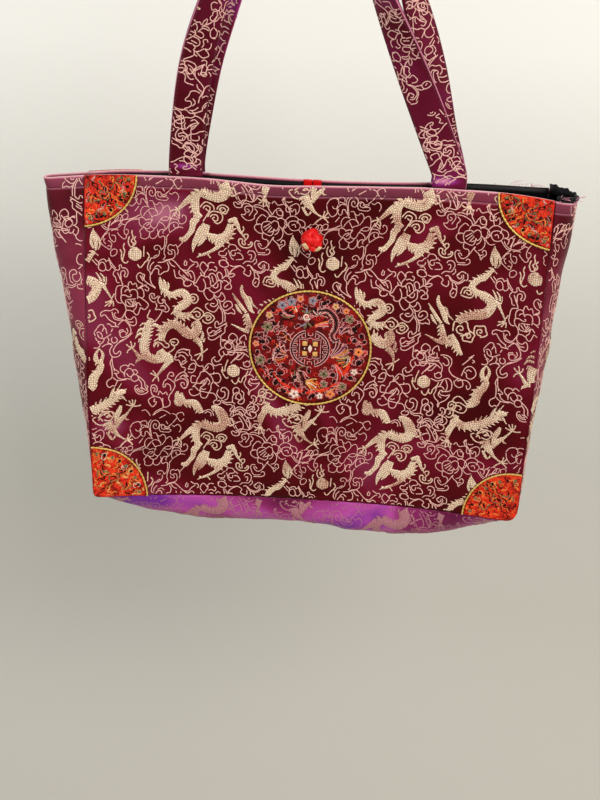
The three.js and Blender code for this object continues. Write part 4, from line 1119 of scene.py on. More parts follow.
def fins(body, gap=3.6, reach=2.4):
    """Short spikes along the back of a dragon, slanted towards its tail."""
    strokes = []
    points = body[0]
    along = unit(np.gradient(points[:, :2], axis=0))
    out = np.stack([-along[:, 1], along[:, 0]], -1)
    each = max(1, round(gap / STROKE_STEP))
    for i in range(1, len(points) - 1, each):
        root = points[i, :2] + out[i] * points[i, 2] * 0.9
        tip = points[i, :2] + out[i] * (points[i, 2] + reach) + along[i] * reach * 0.8
        spike = np.array([[*root, 0.9], [*((root + tip) / 2), 0.6], [*tip, 0.15]])
        strokes.append((spike, GOLD))
    return strokes


def spiral(x, d, radius, start, turns, hand, half_width, kind):
    """A stroke that winds in to its middle, hand being 1 or -1."""
    share = np.linspace(0, 1, 15)
    angle = start + hand * turns * 2 * np.pi * share
    reach = radius * (1 - 0.86 * share)
    points = np.stack([x + reach * np.cos(angle), d + reach * np.sin(angle), 0 * share + half_width], -1)
    return curve_through(points, min(STROKE_STEP, radius / 3)), kind


def cloud(x, d, radius, angle):
    """A cloud head: a spiral of gold inside a wavy outline."""
    lobes = [(1.0, -2.5), (0.98, -1.9), (1.2, -1.3), (0.95, -0.7), (1.22, 0), (0.95, 0.7), (1.2, 1.3),
             (0.98, 1.9), (0.9, 2.5)]
    outline = [(x + radius * r * math.cos(angle + a), d + radius * r * math.sin(angle + a), 0.6)
               for r, a in lobes]
    return [(curve_through(outline, STROKE_STEP), GOLD),
            spiral(x, d, radius * 0.66, angle + 2.2, 1.25, 1, 0.55, GOLD)]


def pearl(x, d):
    """A pearl: an upright oval of scaled thread."""
    oval = [(x, d - 6, 1.0), (x, d - 3, 5.0), (x, d + 1, 5.8), (x, d + 4, 5.0), (x, d + 6, 1.5)]
    return [(curve_through(oval, STROKE_STEP), SCALES)]


repeat = []
for part in (FLOWERS_TOP_LEFT, FLOWERS_TOP_RIGHT, FLOWERS_MIDDLE_LEFT, FLOWERS_MIDDLE_RIGHT, FLOWERS_LOW_LEFT,
             FLOWERS_LOW_RIGHT):
    repeat += drawn(part, PINK, 0.4)
repeat += drawn(CLOUD_LINES, GOLD, 0.5) + drawn(DRAGON_CLAWS, GOLD, 0.52) + drawn(DRAGON_LIMBS, SCALES)
bodies = drawn(DRAGON_BODIES, SCALES)
for body in bodies:
    repeat += fins(body)
repeat += bodies + pearl(43, 69) + pearl(130.6, 176)
for x, d, radius, angle in ((127, 10, 4, -1), (159, 123, 7, -1), (166, 129, 5, 1), (176, 124, 5.5, -1)):
    repeat += cloud(x, d, radius, angle)
print(len(repeat), "strokes in the repeat")

# %% Woven threads: strokes laid on a surface as low ribbons
# A ribbon's section as (share of its half-width, height in mm)
NARROW = np.array([[-1, -0.08], [0, 0.18], [1, -0.08]])
WIDE = np.array([[-1, -0.1], [-0.75, 0.22], [0, 0.36], [0.75, 0.22], [1, -0.1]])


def packed(strokes, wide):
    """All narrow or all wide strokes as one array with a row for each place.

    A row holds x, d, the half-width, the stroke's direction in two numbers, the distance run,
    1 where a next place follows, the kind of thread, and how far it lies over earlier strokes.
    """
    rows = []
    for order, (points, kind) in enumerate(strokes):
        if (points[:, 2].max() > 1.0) != wide:
            continue
        over = 0.3 * order / len(strokes)
        along = unit(np.gradient(points[:, :2], axis=0) + 1e-12)
        link = np.ones(len(points))
        link[-1] = 0
        rows.append(np.column_stack([points[:, :3], along, distances(points[:, :2]), link,
                                     np.full(len(points), kind), over + 0 * link]))
    return np.concatenate(rows) if rows else np.zeros((0, 9))


def both_widths(strokes):
    """The strokes packed for each of the two ribbon sections."""
    return [(profile, packed(strokes, wide)) for profile, wide in ((NARROW, False), (WIDE, True))]


packed_repeat = both_widths(repeat)
packed_flowers = both_widths([stroke for stroke in repeat if stroke[1] == PINK])
packed_beasts = both_widths([stroke for stroke in repeat if stroke[1] != PINK])


def woven(lay, place, inside, span, strokes=None, drawing=packed_repeat):
    """Ribbons over a cloth, as (places, quads, kinds, flats).

    place turns (x, d) into lay's numbers, and inside tells which of them to keep. The packed
    drawing is repeated over span, a box (x0, d0, x1, d1). Given strokes are laid once instead.
    """
    x0, d0, x1, d1 = span
    tiles = [(i, j) for i in range(math.floor(x0 / REPEAT_X) - 1, math.ceil(x1 / REPEAT_X) + 1)
             for j in range(math.floor(d0 / REPEAT_D) - 1, math.ceil(d1 / REPEAT_D) + 1)]
    if strokes is not None:
        tiles = [(0, 0)]
        drawing = both_widths(strokes)
    parts = []
    for profile, rows in drawing:
        for i, j in tiles if len(rows) else []:
            x = rows[:, 0] + i * REPEAT_X
            d = rows[:, 1] + j * REPEAT_D
            held = inside(x, d)
            link = (rows[:, 6] > 0) & held & np.roll(held, -1)
            used = link | np.roll(link, 1)
            if not used.any():
                continue
            keep = np.flatnonzero(used)
            number = np.cumsum(used) - 1
            offset = profile[:, 0][None] * rows[keep, 2:3]
            a, b = place(x[keep, None] - rows[keep, 4:5] * offset,
                         d[keep, None] + rows[keep, 3:4] * offset)
            places = lay(a, b, profile[None, :, 1] + rows[keep, 8:9])
            m = len(profile)
            first = number[np.flatnonzero(link)]
            at = (first[:, None] * m + np.arange(m - 1)[None]).ravel()
            quads = np.stack([at, at + m, at + m + 1, at + 1], -1)
            corner = places.reshape(-1, 3)[quads[0]]
            outwards = lay(a[0], b[0], profile[:, 1] + 9)[0] - places[0, 0]
            if np.dot(np.cross(corner[1] - corner[0], corner[3] - corner[0]), outwards) < 0:
                quads = quads[:, ::-1]
            kinds = np.repeat(rows[np.flatnonzero(link), 7].astype(int), m - 1)
            flats = np.stack([rows[keep, 5:6] + 0 * offset, offset], -1)
            parts.append((places.reshape(-1, 3), quads, kinds, flats.reshape(-1, 2)))
    return join(parts)


print("the repeat has", sum(len(rows) for profile, rows in packed_repeat), "places along its strokes")

# %% [markdown]
# ## Shells
# Each panel, gusset and base is a brocade shell, an interlining and a satin lining, with the
# rim turned in. The slabs follow the same folds, one under another.

# %% How the rim is turned in
HALF_TAB = 14.8       # half the width of a strap's end in the hem
LINING_DROP = 2.2     # the brocade's fold shows inside the rim above the lining
SHELL_UNDER = 0.7     # the depth of the brocade's inner face


def hem_shape(column, row):
    """Where no strap's end is in the way, and how far the fold at the rim is rounded off."""
    clear_of_tab = np.abs(np.abs(column) - STRAP_X) > HALF_TAB + 2
    return clear_of_tab, 1 - np.sqrt(np.maximum(0, 1 - (1 - np.minimum(row, 1)) ** 2))


def hem_under(column, row):
    """The turned hem makes the shell thicker along the rim, except over the strap ends."""
    clear_of_tab, curve = hem_shape(column, row)
    thick = np.where(clear_of_tab, INTERLINING_UNDER - SHELL_UNDER, 0) * (row <= HEM)
    return SHELL_UNDER + thick - curve * (0.35 + thick / 2)


def hem_top(column, row):
    """The outer face is rounded off at the rim too."""
    clear_of_tab, curve = hem_shape(column, row)
    return curve * np.where(clear_of_tab, 0.98, 0.34)


def constant(value):
    """A depth that is the same all over."""
    return lambda column, row: value + 0 * column


print("the hem is", float(hem_under(np.array(0.0), np.array(5.0))), "mm thick")

# %% The five shells with their interlinings and linings
tab_edges = [-STRAP_X - HALF_TAB - 4, -STRAP_X - HALF_TAB, -STRAP_X + HALF_TAB, -STRAP_X + HALF_TAB + 4]
panel_breaks = [-SEAM_X] + tab_edges + [0] + [-edge for edge in tab_edges[::-1]] + [SEAM_X]
shell_step, lining_step, interlining_step = 2.5, 4, 7
BASE_START = 100     # where the base's middle lies on its flat cloth, clear of the hem's colours
LINING_RISE, RISE_X, RISE_REACH = 4.4, 95, 30     # the back lining's rise and where it begins
shell_rows = np.concatenate([[0, 0.12, 0.35, 1.0],
                             spread([HEM - 1.5, HEM, HEM + HEM_TAPER, PANEL_H], shell_step)])
interlining_rows = spread([HEM + HEM_TAPER + 0.3, PANEL_H], interlining_step)
lining_rows = spread([LINING_DROP, HEM, HEM + HEM_TAPER, PANEL_H], lining_step)
flat_panel = lambda a, b: (a, b * PANEL_H)
flat_gusset = lambda a, b: (a * HALF_GUSSET, b * PANEL_H)
flat_base = lambda a, b: (a * SEAM_X, BASE_START + b * HALF_GUSSET)
lays = {}
pieces = {}


def raised_at_the_right(lay):
    """A back lining that stands a little above the rim at the right, as in the photograph."""
    def raised(a, b, lift):
        near_rim = np.maximum(0, 1 - b * PANEL_H / HEM)
        return lay(a, b - LINING_RISE / PANEL_H * smooth((a - RISE_X) / RISE_REACH) * near_rim, lift)
    return raised


def three_layers(name, lay, lining_lay, domain, columns, flip, flat):
    """The shell, interlining and lining of a panel or gusset, each with its own columns."""
    lays[name] = lay
    pieces[name] = slab(lay, domain, columns[0], shell_rows, hem_top, hem_under, flip, flat)
    pieces[name + "_interlining"] = slab(lay, domain, columns[1], interlining_rows,
                                         constant(INTERLINING_TOP), constant(INTERLINING_UNDER), flip, flat)
    pieces[name + "_lining"] = slab(lining_lay, domain, columns[2], lining_rows,
                                    constant(LINING_TOP), constant(STACK), flip, flat)


panel_columns = [spread(panel_breaks, step) for step in (shell_step, interlining_step, lining_step)]
for front in (True, False):
    lay = layer(panel_surface(front), panel_bumps(front), -1 if front else 1)
    three_layers("front_panel" if front else "back_panel", lay, lay if front else raised_at_the_right(lay),
                 panel_domain, panel_columns, front, flat_panel)
gusset_columns = [np.linspace(-1, 1, count) for count in (41, 25, 25)]
for side in (-1, 1):
    lay = layer(gusset_surface(side), gusset_bumps(side), -side, 2e-3)
    three_layers("left_gusset" if side < 0 else "right_gusset", lay, lay, gusset_domain(side),
                 gusset_columns, side > 0, flat_gusset)
lay = layer(base_surface, base_bumps, -1, 1e-3)
lays["base_panel"] = lay
for name, step, count, top, under in (
        ("base_panel", 2.5, 41, 0.0, SHELL_UNDER),
        ("base_panel_interlining", 7, 21, INTERLINING_TOP, INTERLINING_UNDER),
        ("base_panel_lining", 5, 25, LINING_TOP, STACK)):
    pieces[name] = slab(lay, base_domain, spread([-1, 1], step / SEAM_X), np.linspace(-1, 1, count),
                        constant(top), constant(under), True, flat_base)
for name, part in pieces.items():
    ground = panel_ground if "panel" in name else side_ground
    ground = base_ground if "base" in name else ground
    materials = [wadding] if "interlining" in name else [black_satin] if "lining" in name else [ground]
    made = cloth_object(name + "_cloth", part, materials)
    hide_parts(name)

# %% [markdown]
# ## Patches, medallions and their twisted cords
# A patch is a quarter of a disc in a corner, and the medallion is a whole one. Both come from
# the same square grid, bent to a disc. A gold cord of two twisted strands runs along the edge.

# %% Patches, medallions and cords
MEDALLION, MEDALLION_DROP = 53.5, 150.0     # its radius, and its middle's place below the rim
# How far a patch reaches across and down, by top or not and by side, -1 being the left
PATCH_REACH = {(True, -1): (44.5, 42.0), (True, 1): (44.5, 40.0),
               (False, -1): (48.5, 52.5), (False, 1): (48.0, 49.5)}
APPLIQUE_TOP, APPLIQUE_UNDER = 0.9, 0.3     # heights over the panel
PATCH_CORD, MEDALLION_CORD = 1.9, 2.0       # diameters
CORD_GAP, CORD_TWIST = 0.3, 4.0             # from a cord to what it lies beside, and one turn of it
PATCH_INSET = 0.2                           # from the seams to a patch
PATCH_LINES, MEDALLION_LINES = 20, 41       # the grid's lines each way


def disc_domain(x, drop, across, down):
    """domain(column, row, depth) for a square grid bent to a disc or a quarter of one."""
    def domain(column, row, depth):
        return (x + across * column * np.sqrt(1 - row ** 2 / 2),
                (drop + down * row * np.sqrt(1 - column ** 2 / 2)) / PANEL_H)
    return domain


def patch_name(face, top, side):
    """The name of a corner patch."""
    return f"{face}_{'top' if top else 'bottom'}_{'left' if side < 0 else 'right'}_patch"


def twisted_cord(lay, places, diameter, closed):
    """A cord of two strands that turn about each other, laid along places (x, d) on a panel."""
    x, d = places[:, 0], places[:, 1]
    lift = CORD_GAP + diameter / 2
    path = lay(x, d / PANEL_H, lift)
    up = lay(x, d / PANEL_H, lift + 1) - path
    run = distances(path)
    turns = run[-1] / CORD_TWIST
    turns = round(turns) if closed else turns
    phase = run / run[-1] * turns * 2 * np.pi
    angle = np.linspace(0, 2 * np.pi, 11)[:-1]
    reach = diameter / 2 * (0.66 + 0.34 * np.abs(np.cos(angle[None] - phase[:, None] / 2)) ** 1.5)
    return sweep(path, up, oval(reach, reach, 10), closed)


applied = {}
for front in (True, False):
    face = "front" if front else "back"
    lay = lays[face + "_panel"]
    for side in (-1, 1):
        for top in (True, False):
            across, down = PATCH_REACH[top, side]
            x = side * (SEAM_X - PATCH_INSET)
            drop = 0 if top else PANEL_H - PATCH_INSET
            name = patch_name(face, top, side)
            quarter = np.linspace(0, 1, PATCH_LINES), np.linspace(-1, 0, PATCH_LINES)
            columns = quarter[0 if side < 0 else 1]
            rows = quarter[0 if top else 1]
            applied[name] = slab(lay, disc_domain(x, drop, across, down), columns, rows,
                                 constant(-APPLIQUE_TOP), constant(-APPLIQUE_UNDER), front, flat_panel)
            turn_here = np.linspace(0, np.pi / 2, 230)
            edge = CORD_GAP + PATCH_CORD / 2
            line = np.stack([x - side * (across + edge) * np.cos(turn_here),
                             drop + (1 if top else -1) * (down + edge) * np.sin(turn_here)], -1)
            applied[name + "_cord"] = twisted_cord(lay, line, PATCH_CORD, False)
    lines = np.linspace(-1, 1, MEDALLION_LINES)
    applied[face + "_medallion"] = slab(lay, disc_domain(0, MEDALLION_DROP, MEDALLION, MEDALLION), lines,
                                        lines, constant(-APPLIQUE_TOP), constant(-APPLIQUE_UNDER), front,
                                        flat_panel)
    turn_here = np.linspace(0, 2 * np.pi, 1001)
    radius = MEDALLION + CORD_GAP + MEDALLION_CORD / 2
    line = np.stack([radius * np.cos(turn_here), MEDALLION_DROP + radius * np.sin(turn_here)], -1)
    applied[face + "_medallion_cord"] = twisted_cord(lay, line, MEDALLION_CORD, True)
print(len(applied), "patches, medallions and cords")

# %% Materials of the applied pieces
def silk_ground(name, light, middle, dark):
    """A mottled silk ground with a fine weave."""
    material, tree, shader = new_material(name)
    mottled = fine_noise(tree, 1.3, 1.3, distortion=0.8)
    colour = ramp(tree, mottled, [(0.36, dark), (0.5, middle), (0.64, light)])
    set_shader(tree, shader, colour, Roughness=0.45, Specular_IOR_Level=0.15)
    thread_bump(tree, shader, fine_noise(tree, 50, 8), 0.35, 0.0004)
    return material


medallion_ground = silk_ground("deep_red_silk_ground", "#900c0a", "#660406", "#3c0203")
red_ground = silk_ground("orange_red_silk_ground", "#ec3c18", "#c4200c", "#801006")
coloured_silks = [thread_material(name, light, dark, 0.5, metallic, 0.0, 0.1)
                  for name, light, dark, metallic in (
                      ("yellow_silk", "#e8b46c", "#b0783c", 0.1), ("rose_silk", "#e0a09a", "#b06068", 0.0),
                      ("black_silk", "#1c0606", "#0a0202", 0.0), ("scarlet_silk", "#e83a20", "#a81c12", 0.0),
                      ("cream_silk", "#f2dccc", "#c8a090", 0.0), ("slate_silk", "#8c8c98", "#54525e", 0.0),
                      ("olive_silk", "#7c7450", "#463e28", 0.0), ("plum_silk", "#7c4468", "#4c2440", 0.0),
                      ("orange_silk", "#f08a40", "#c0541c", 0.0))]
medallion_silks = [medallion_ground] + coloured_silks
patch_silk_materials = [red_ground] + coloured_silks
cord_gold = woven_material("gold_cord", (9, 26, 0.7), [(0.32, "#a87830"), (0.55, "#e6c468")],
                           0.4, 0.0004, Roughness=0.35, Metallic=0.35)
gold_tissue = thread_material("gold_tissue", "#f4e0b0", "#b4864c", 0.35, 0.25, 0.0)
red_satin = woven_material("red_satin", (5, 40), [(0.3, "#c00408"), (0.7, "#f01414")],
                           0.2, 0.0003, Roughness=0.33, Specular_IOR_Level=0.3)
for name, part in applied.items():
    material = cord_gold if "cord" in name else medallion_ground if "medallion" in name else red_ground
    made = cloth_object(name + "_sewn", part, [material])
    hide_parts(name)

# %% [markdown]
# ## Silk figures of the medallions and the patches
# The medallion is woven in many silks: a longevity sign in two rings, a dragon and a phoenix
# round it, and flowers and cloud curls along the cord. The patches are cut from a like cloth.
# A few small figures, given one by one in mm from the medallion's middle, make them all.

# %% Silks and small figures
# Places in the list of silks, after the ground
YELLOW, ROSE, BLACK, SCARLET, CREAM, SLATE, OLIVE, PLUM, ORANGE = range(1, 10)
GOLDEN_ANGLE = 2.39996     # turning by it spreads figures evenly over a disc
WAVE_STEP = 2.2            # in mm, along the wavy lines


def silk(points, kind, half_width=0.42, step=0.7):
    """A stroke of silk through places (x, d) or (x, d, half-width), and its kind."""
    points = np.asarray(points, float)
    if points.shape[1] == 2:
        points = np.column_stack([points, np.full(len(points), half_width)])
    return curve_through(points, step), kind


def about(x, d, reach, angle):
    """The place at a distance and an angle from another."""
    return x + reach * math.cos(angle), d + reach * math.sin(angle)


def rosette(x, d, radius, kind, turn):
    """A flower: five thick petals in one silk, outlined, round a black middle."""
    strokes = []
    for k in range(5):
        angle = turn + 2 * np.pi * k / 5
        root, middle, tip = (about(x, d, radius * r, angle) for r in (0.2, 0.62, 0.98))
        strokes.append(silk([(*root, radius * 0.14), (*middle, radius * 0.36), (*tip, radius * 0.12)], kind))
        edge = [about(x, d, radius * r, angle + a) for r, a in
                ((0.42, -0.62), (0.85, -0.5), (1.1, -0.2), (1.1, 0.2), (0.85, 0.5), (0.42, 0.62))]
        strokes.append(silk(edge, ROSE, 0.26))
    middle = [(x + side * radius * 0.16, d, radius * 0.2) for side in (-1, 1)]
    return strokes + [silk(middle, BLACK)]


def curl(x, d, size, angle, hand, kind=ROSE, heart=BLACK, fat=0.62):
    """A dark cloud curl with a bright spiral round it. fat is its middle's half-width over its size."""
    blob = [(*about(x, d, size * 0.55, angle + np.pi), size * 0.2), (x, d, size * fat),
            (*about(x, d, size * 0.7, angle), size * 0.3)]
    strokes = [silk(blob, heart)]
    strokes.append(spiral(x, d, size, angle + 2.2, 1.15, hand, 0.3, kind))
    tail = [about(x, d, size * r, angle + a) for r, a in ((1.0, 2.2), (1.5, 2.6), (1.7, 3.2), (1.3, 3.7))]
    strokes.append(silk(tail, kind, 0.3))
    return strokes


def fan(x, d, angle, length, opening, kinds, bend, half_width):
    """Curved lines that spread from one place, as feathers do."""
    strokes = []
    for k, kind in enumerate(kinds):
        lean = angle + opening * (k / max(1, len(kinds) - 1) - 0.5)
        points = [about(x, d, length * r, lean + bend * r * r) for r in (0.12, 0.4, 0.7, 1.0)]
        strokes.append(silk(points, kind, half_width))
    return strokes


def waves(x, d, angle, length, rows, gap, kinds, height=0.9):
    """Rows of wavy lines side by side, with a place every WAVE_STEP mm."""
    strokes = []
    for k in range(rows):
        start = about(x, d, gap * k, angle + np.pi / 2)
        points = []
        for i in range(int(length / WAVE_STEP) + 1):
            place = about(*start, WAVE_STEP * i, angle)
            points.append(about(*place, height * math.sin(i * 1.9 + k * 0.9), angle + np.pi / 2))
        strokes.append(silk(points, kinds[k % len(kinds)], 0.4))
    return strokes


print("a rosette takes", len(rosette(0, 0, 3, ROSE, 0)), "strokes and a curl", len(curl(0, 0, 3, 0, 1)))

# %% The medallion's drawing, in mm from its middle
def mirrored(points, kind, half_width=0.42):
    """A stroke in all four quarters of the longevity sign."""
    return [silk([(sx * x, sd * d) for x, d in points], kind, half_width, 0.5)
            for sx in (1, -1) for sd in (1, -1)]


def filler(inner, outer, count, size, kinds):
    """Small curls spread evenly over a ring, to fill the ground between the larger figures."""
    strokes = []
    for k in range(count):
        reach = math.sqrt(inner ** 2 + (outer ** 2 - inner ** 2) * (k + 0.5) / count)
        x, d = about(0, 0, reach, GOLDEN_ANGLE * k)
        strokes += curl(x, d, size * (0.8 + 0.4 * (k * 7 % 5) / 4), 1.7 * k, 1 - 2 * (k % 2),
                        kinds[k % len(kinds)], BLACK, 0.46)
    return strokes


medallion = [silk([(-33, 26, 0.5), (-22, 37, 1.5), (-4, 43, 1.8), (12, 41, 1.5), (26, 33, 0.6)], SCARLET),
             silk([(24, 20, 0.5), (31, 23, 1.6), (36, 14, 1.6), (40, 4, 0.6)], SCARLET),
             silk([(-34, -32, 0.5), (-22, -38, 1.3), (-8, -40, 0.5)], SCARLET)]
medallion += filler(37, 51, 66, 2.9, [ROSE]) + filler(22, 36, 48, 2.0, [ROSE, ROSE, SCARLET])

# The longevity sign: two rose rings with a black one between them, all broken at the top and
# the bottom, and a fret of short bars
for radius, gap, kind, half_width in ((16.9, 0.27, BLACK, 0.9), (18.0, 0.27, ROSE, 0.5),
                                      (15.8, 0.3, ROSE, 0.45)):
    quarter = [(radius * math.sin(a), -radius * math.cos(a)) for a in np.linspace(gap, np.pi / 2, 9)]
    medallion += mirrored(quarter, kind, half_width)
for points in ([(4.8, -17.2), (4.8, -14.0), (4.6, -10.8), (7.6, -10.4), (7.6, -13.0)],
               [(2.0, -15.5), (2.0, -13.0), (0, -12.6)],
               [(2.4, -9.0), (6.0, -8.8), (9.6, -8.6), (9.6, -5.6)],
               [(15.6, -4.2), (12.0, -4.2), (11.8, -2.0), (15.8, -2.0)],
               [(9.6, -4.8), (9.6, -2.4), (9.6, 0)],
               [(9.6, -10.8), (12.0, -8.4), (12.2, -6.2), (14.6, -6.2)],
               [(12.0, 0), (17.8, 0)], [(0, -10.6), (2.4, -9.0), (2.4, -7.4)]):
    medallion += mirrored([(x + 0.7, d + 0.7) for x, d in points], BLACK, 0.55)
    medallion += mirrored(points, ROSE, 0.4)
for x, d in ((4.7, 4.7), (4.7, -4.7), (-4.7, 4.7), (-4.7, -4.7)):
    medallion += [silk([(x - 2.2, d, 2.2), (x, d, 2.6), (x + 2.2, d, 2.2)], YELLOW),
                  silk([(x + x / 3, d - d / 2, 0.3), (x - x / 2, d + d / 3, 0.3)], SCARLET)]
medallion += [silk([(0, -3.6, 0.4), (0, 0, 1.9), (0, 3.6, 0.4)], CREAM),
              silk([(-5.4, 0, 0.8), (-4.4, 0, 0.9)], CREAM), silk([(4.4, 0, 0.9), (5.4, 0, 0.8)], CREAM)]
medallion += mirrored([(2.2, -6.6), (2.4, -3.2), (6.6, -2.2)], BLACK, 0.5)

# The dragon on the right with its head at the top, and the pearl before it
dragon = np.array([(6, -36, 1.8), (13, -38, 2.1), (19, -34, 2.3), (22.5, -27, 2.4), (22, -20, 2.2),
                   (19, -14, 1.9), (22, -9, 1.6), (26, -11, 1.0)])
medallion.append(silk(dragon * (1, 1, 0.45), BLACK))
body, _ = silk(dragon, ROSE)
across = unit(np.gradient(body[:, :2], axis=0))[:, ::-1] * (1, -1)
for side in (-1, 1):
    edge = body[:, :2] + across * body[:, 2:3] * side
    medallion.append(silk(edge[::4], ROSE, 0.34))
    for place, out in zip(edge[::3], across[::3] * side):
        medallion.append(silk([(*place, 0.35), (*(place + out * 1.2), 0.15)], ROSE if side > 0 else CREAM))
for place, out in zip(body[1::2, :2], across[1::2]):
    medallion.append(silk([place - out * 1.1, place + out * 1.1], ROSE, 0.26))
medallion += fan(7, -32, -1.7, 8, 3.2,
                 [ROSE, BLACK, CREAM, BLACK, ROSE, BLACK, CREAM, BLACK, ROSE, BLACK, ROSE], 0.3, 0.42)
medallion += fan(2, -21.5, -0.34, 14, 0.34, [ORANGE, ROSE, SCARLET, ROSE], 0.1, 0.6)
medallion += [spiral(-4, -30.5, 3.4, 0.4, 1.5, 1, 0.7, CREAM),
              silk([(-5, -30.5, 1.0), (-3, -30.5, 1.0)], SCARLET)]
medallion += fan(-4, -25, 1.4, 6, 1.8, [OLIVE, BLACK, OLIVE, SLATE], 0.2, 0.8)
medallion += fan(-4, -33.5, -1.5, 5, 1.9, [OLIVE, SLATE, OLIVE], -0.2, 0.8)
medallion += fan(-13, -31, 2.9, 13, 0.8, [BLACK, OLIVE, ROSE, BLACK], 0.3, 0.7)
medallion += fan(-12, -34, -2.4, 8, 1.4, [SCARLET, ORANGE, CREAM, SCARLET], 0.3, 0.6)

# Smoke and feathers on the left
for k in range(5):
    medallion += waves(-36 + 2.4 * k, -14 + 1.2 * k, -0.9 + 0.12 * k, 15, 1, 1, [BLACK if k % 2 else ROSE])
medallion += waves(-23, -16, 0.85, 12, 3, 1.6, [ROSE, BLACK, ORANGE])
medallion += fan(-20, 6, 3.0, 14, 2.2,
                 [SCARLET, ORANGE, ROSE, BLACK, ROSE, BLACK, ORANGE, ROSE, BLACK, ROSE], 0.5, 0.45)
medallion += fan(-33, 16, -1.5, 20, 0.5, [ROSE, CREAM, BLACK, ROSE], 0.5, 0.4)

# The phoenix on the right
medallion += fan(17, 8, -0.55, 20, 0.9,
                 [ROSE, BLACK, ROSE, BLACK, ROSE, PLUM, ROSE, ORANGE, YELLOW, ROSE], -0.25, 0.42)
medallion += fan(26, -14, -1.2, 12, 0.9, [ROSE, PLUM, ROSE, BLACK, ROSE], 0.4, 0.42)
medallion += fan(37, 4, 2.2, 14, 1.1, [YELLOW, OLIVE, ORANGE, OLIVE, YELLOW, OLIVE], 0.4, 0.55)
medallion += fan(35, 5, 1.5, 7, 0.9, [PLUM, CREAM, PLUM, CREAM, PLUM], 0.0, 0.5)
medallion += fan(22, 12, 0.9, 18, 0.5, [SCARLET, ROSE, SCARLET, ROSE], 0.2, 0.6)

# Leaves, a fan and waves at the bottom
medallion += fan(-12, 22, 0.4, 12, 2.4, [OLIVE, BLACK, ROSE, BLACK, OLIVE, ROSE, BLACK], 0.5, 0.55)
medallion += fan(-6, 34, -2.6, 14, 1.2, [BLACK, ROSE, OLIVE, ROSE, BLACK], 0.5, 0.5)
medallion += fan(-4, 33, 0.1, 12, 1.2, [YELLOW, ORANGE, YELLOW, CREAM, ORANGE, YELLOW], 0.2, 0.6)
medallion += waves(6, 31, 0.75, 14, 4, 1.7, [SCARLET, ORANGE])
medallion += waves(18, 38, -0.62, 15, 3, 1.6, [SCARLET, ROSE, ORANGE])
medallion += waves(-26, 38, 0.55, 26, 2, 1.8, [SCARLET, ORANGE])
medallion += waves(-42, 20, 0.9, 14, 3, 1.5, [ROSE, BLACK, SCARLET])

# Flowers and cloud curls along the cord
for x, d, radius, kind, turn in (
        (-26, -40, 4.3, SLATE, 0.2), (-18, -44, 4.3, SLATE, 0.9), (-10, -47, 2.8, ORANGE, 0.3),
        (1, -46, 3.6, SLATE, 0.0), (21.5, -41.5, 3.0, YELLOW, 0.4), (31, -37.5, 2.8, ORANGE, 0.8),
        (34.5, -30, 4.0, OLIVE, 0.1), (-39, -18.5, 4.6, OLIVE, 0.5), (-45, 14, 4.6, OLIVE, 1.1),
        (31, 35.5, 3.6, OLIVE, 0.7), (-37.5, -30, 3.0, YELLOW, 0.2), (-49, -2, 2.6, ORANGE, 0.6),
        (44, 1, 4.2, ORANGE, 0.0), (50, 1.5, 2.2, SCARLET, 0.4), (14, 34, 3.2, OLIVE, 0.9),
        (13.5, 24, 4.2, OLIVE, 0.2), (-13, 45, 4.6, CREAM, 0.5), (20, 43.5, 4.0, ORANGE, 0.1),
        (10.5, 46, 3.0, CREAM, 0.8), (41, 20.5, 3.0, CREAM, 0.3), (-29, 4, 3.0, BLACK, 0.4)):
    medallion += rosette(x, d, radius, kind, turn)
for x, d, size, angle, hand in ((39, -21, 3.6, -0.6, 1), (38, 26, 3.4, 0.6, -1), (45, 11, 3.8, 0.1, 1),
                                (48.5, -9, 2.8, -0.3, -1), (40, -10, 2.8, 0.8, 1), (4.5, 46, 3.4, 1.6, 1),
                                (-30, 35.5, 3.4, 2.2, -1), (-25.5, 25, 3.6, 2.6, 1), (22, 24, 3.2, 1.0, 1),
                                (-43, -4, 3.2, 3.1, 1), (-46, -10, 2.6, 2.6, -1), (11, -44, 3.2, -1.2, 1),
                                (-33, -22, 3.0, -2.2, 1), (-22, 43, 2.8, 2.0, 1), (-34, 27, 2.6, 2.9, -1),
                                (-4, 43, 2.8, 1.7, -1), (29, 42, 2.6, 0.8, 1), (14, -46, 2.6, -0.8, -1),
                                (-13, 29, 3.0, 2.8, 1), (0, 22, 2.6, 1.6, -1)):
    medallion += curl(x, d, size, angle, hand)
print(len(medallion), "strokes in the medallion")


# %% The patches' drawing, in mm from the corner of the bag
def scrolls(outer, count, size, kinds):
    """Fine scrolls over a quarter of a disc, each with a thin line in another silk beside it."""
    strokes = []
    for k in range(count):
        x, d = about(0, 0, outer * math.sqrt((k + 0.5) / count), GOLDEN_ANGLE * k)
        if min(x, d) < -size:
            continue
        turn, hand = 1.7 * k, 1 - 2 * (k % 2)
        line = np.array([about(x, d, size * r, turn + hand * a)
                         for r, a in ((0.9, 0.2), (1.05, 0.9), (0.6, 1.5), (0.1, 1.0), (0.6, 4.3),
                                      (1.1, 3.9), (0.8, 3.2))])
        wide = np.array([0.15, 0.4, 0.65, 0.8, 0.65, 0.4, 0.15]) * size / 2.6
        strokes.append(silk(np.column_stack([line, wide]), kinds[k % len(kinds)]))
        strokes.append(silk(line + 0.75, kinds[(k + 3) % len(kinds)], 0.24))
    return strokes


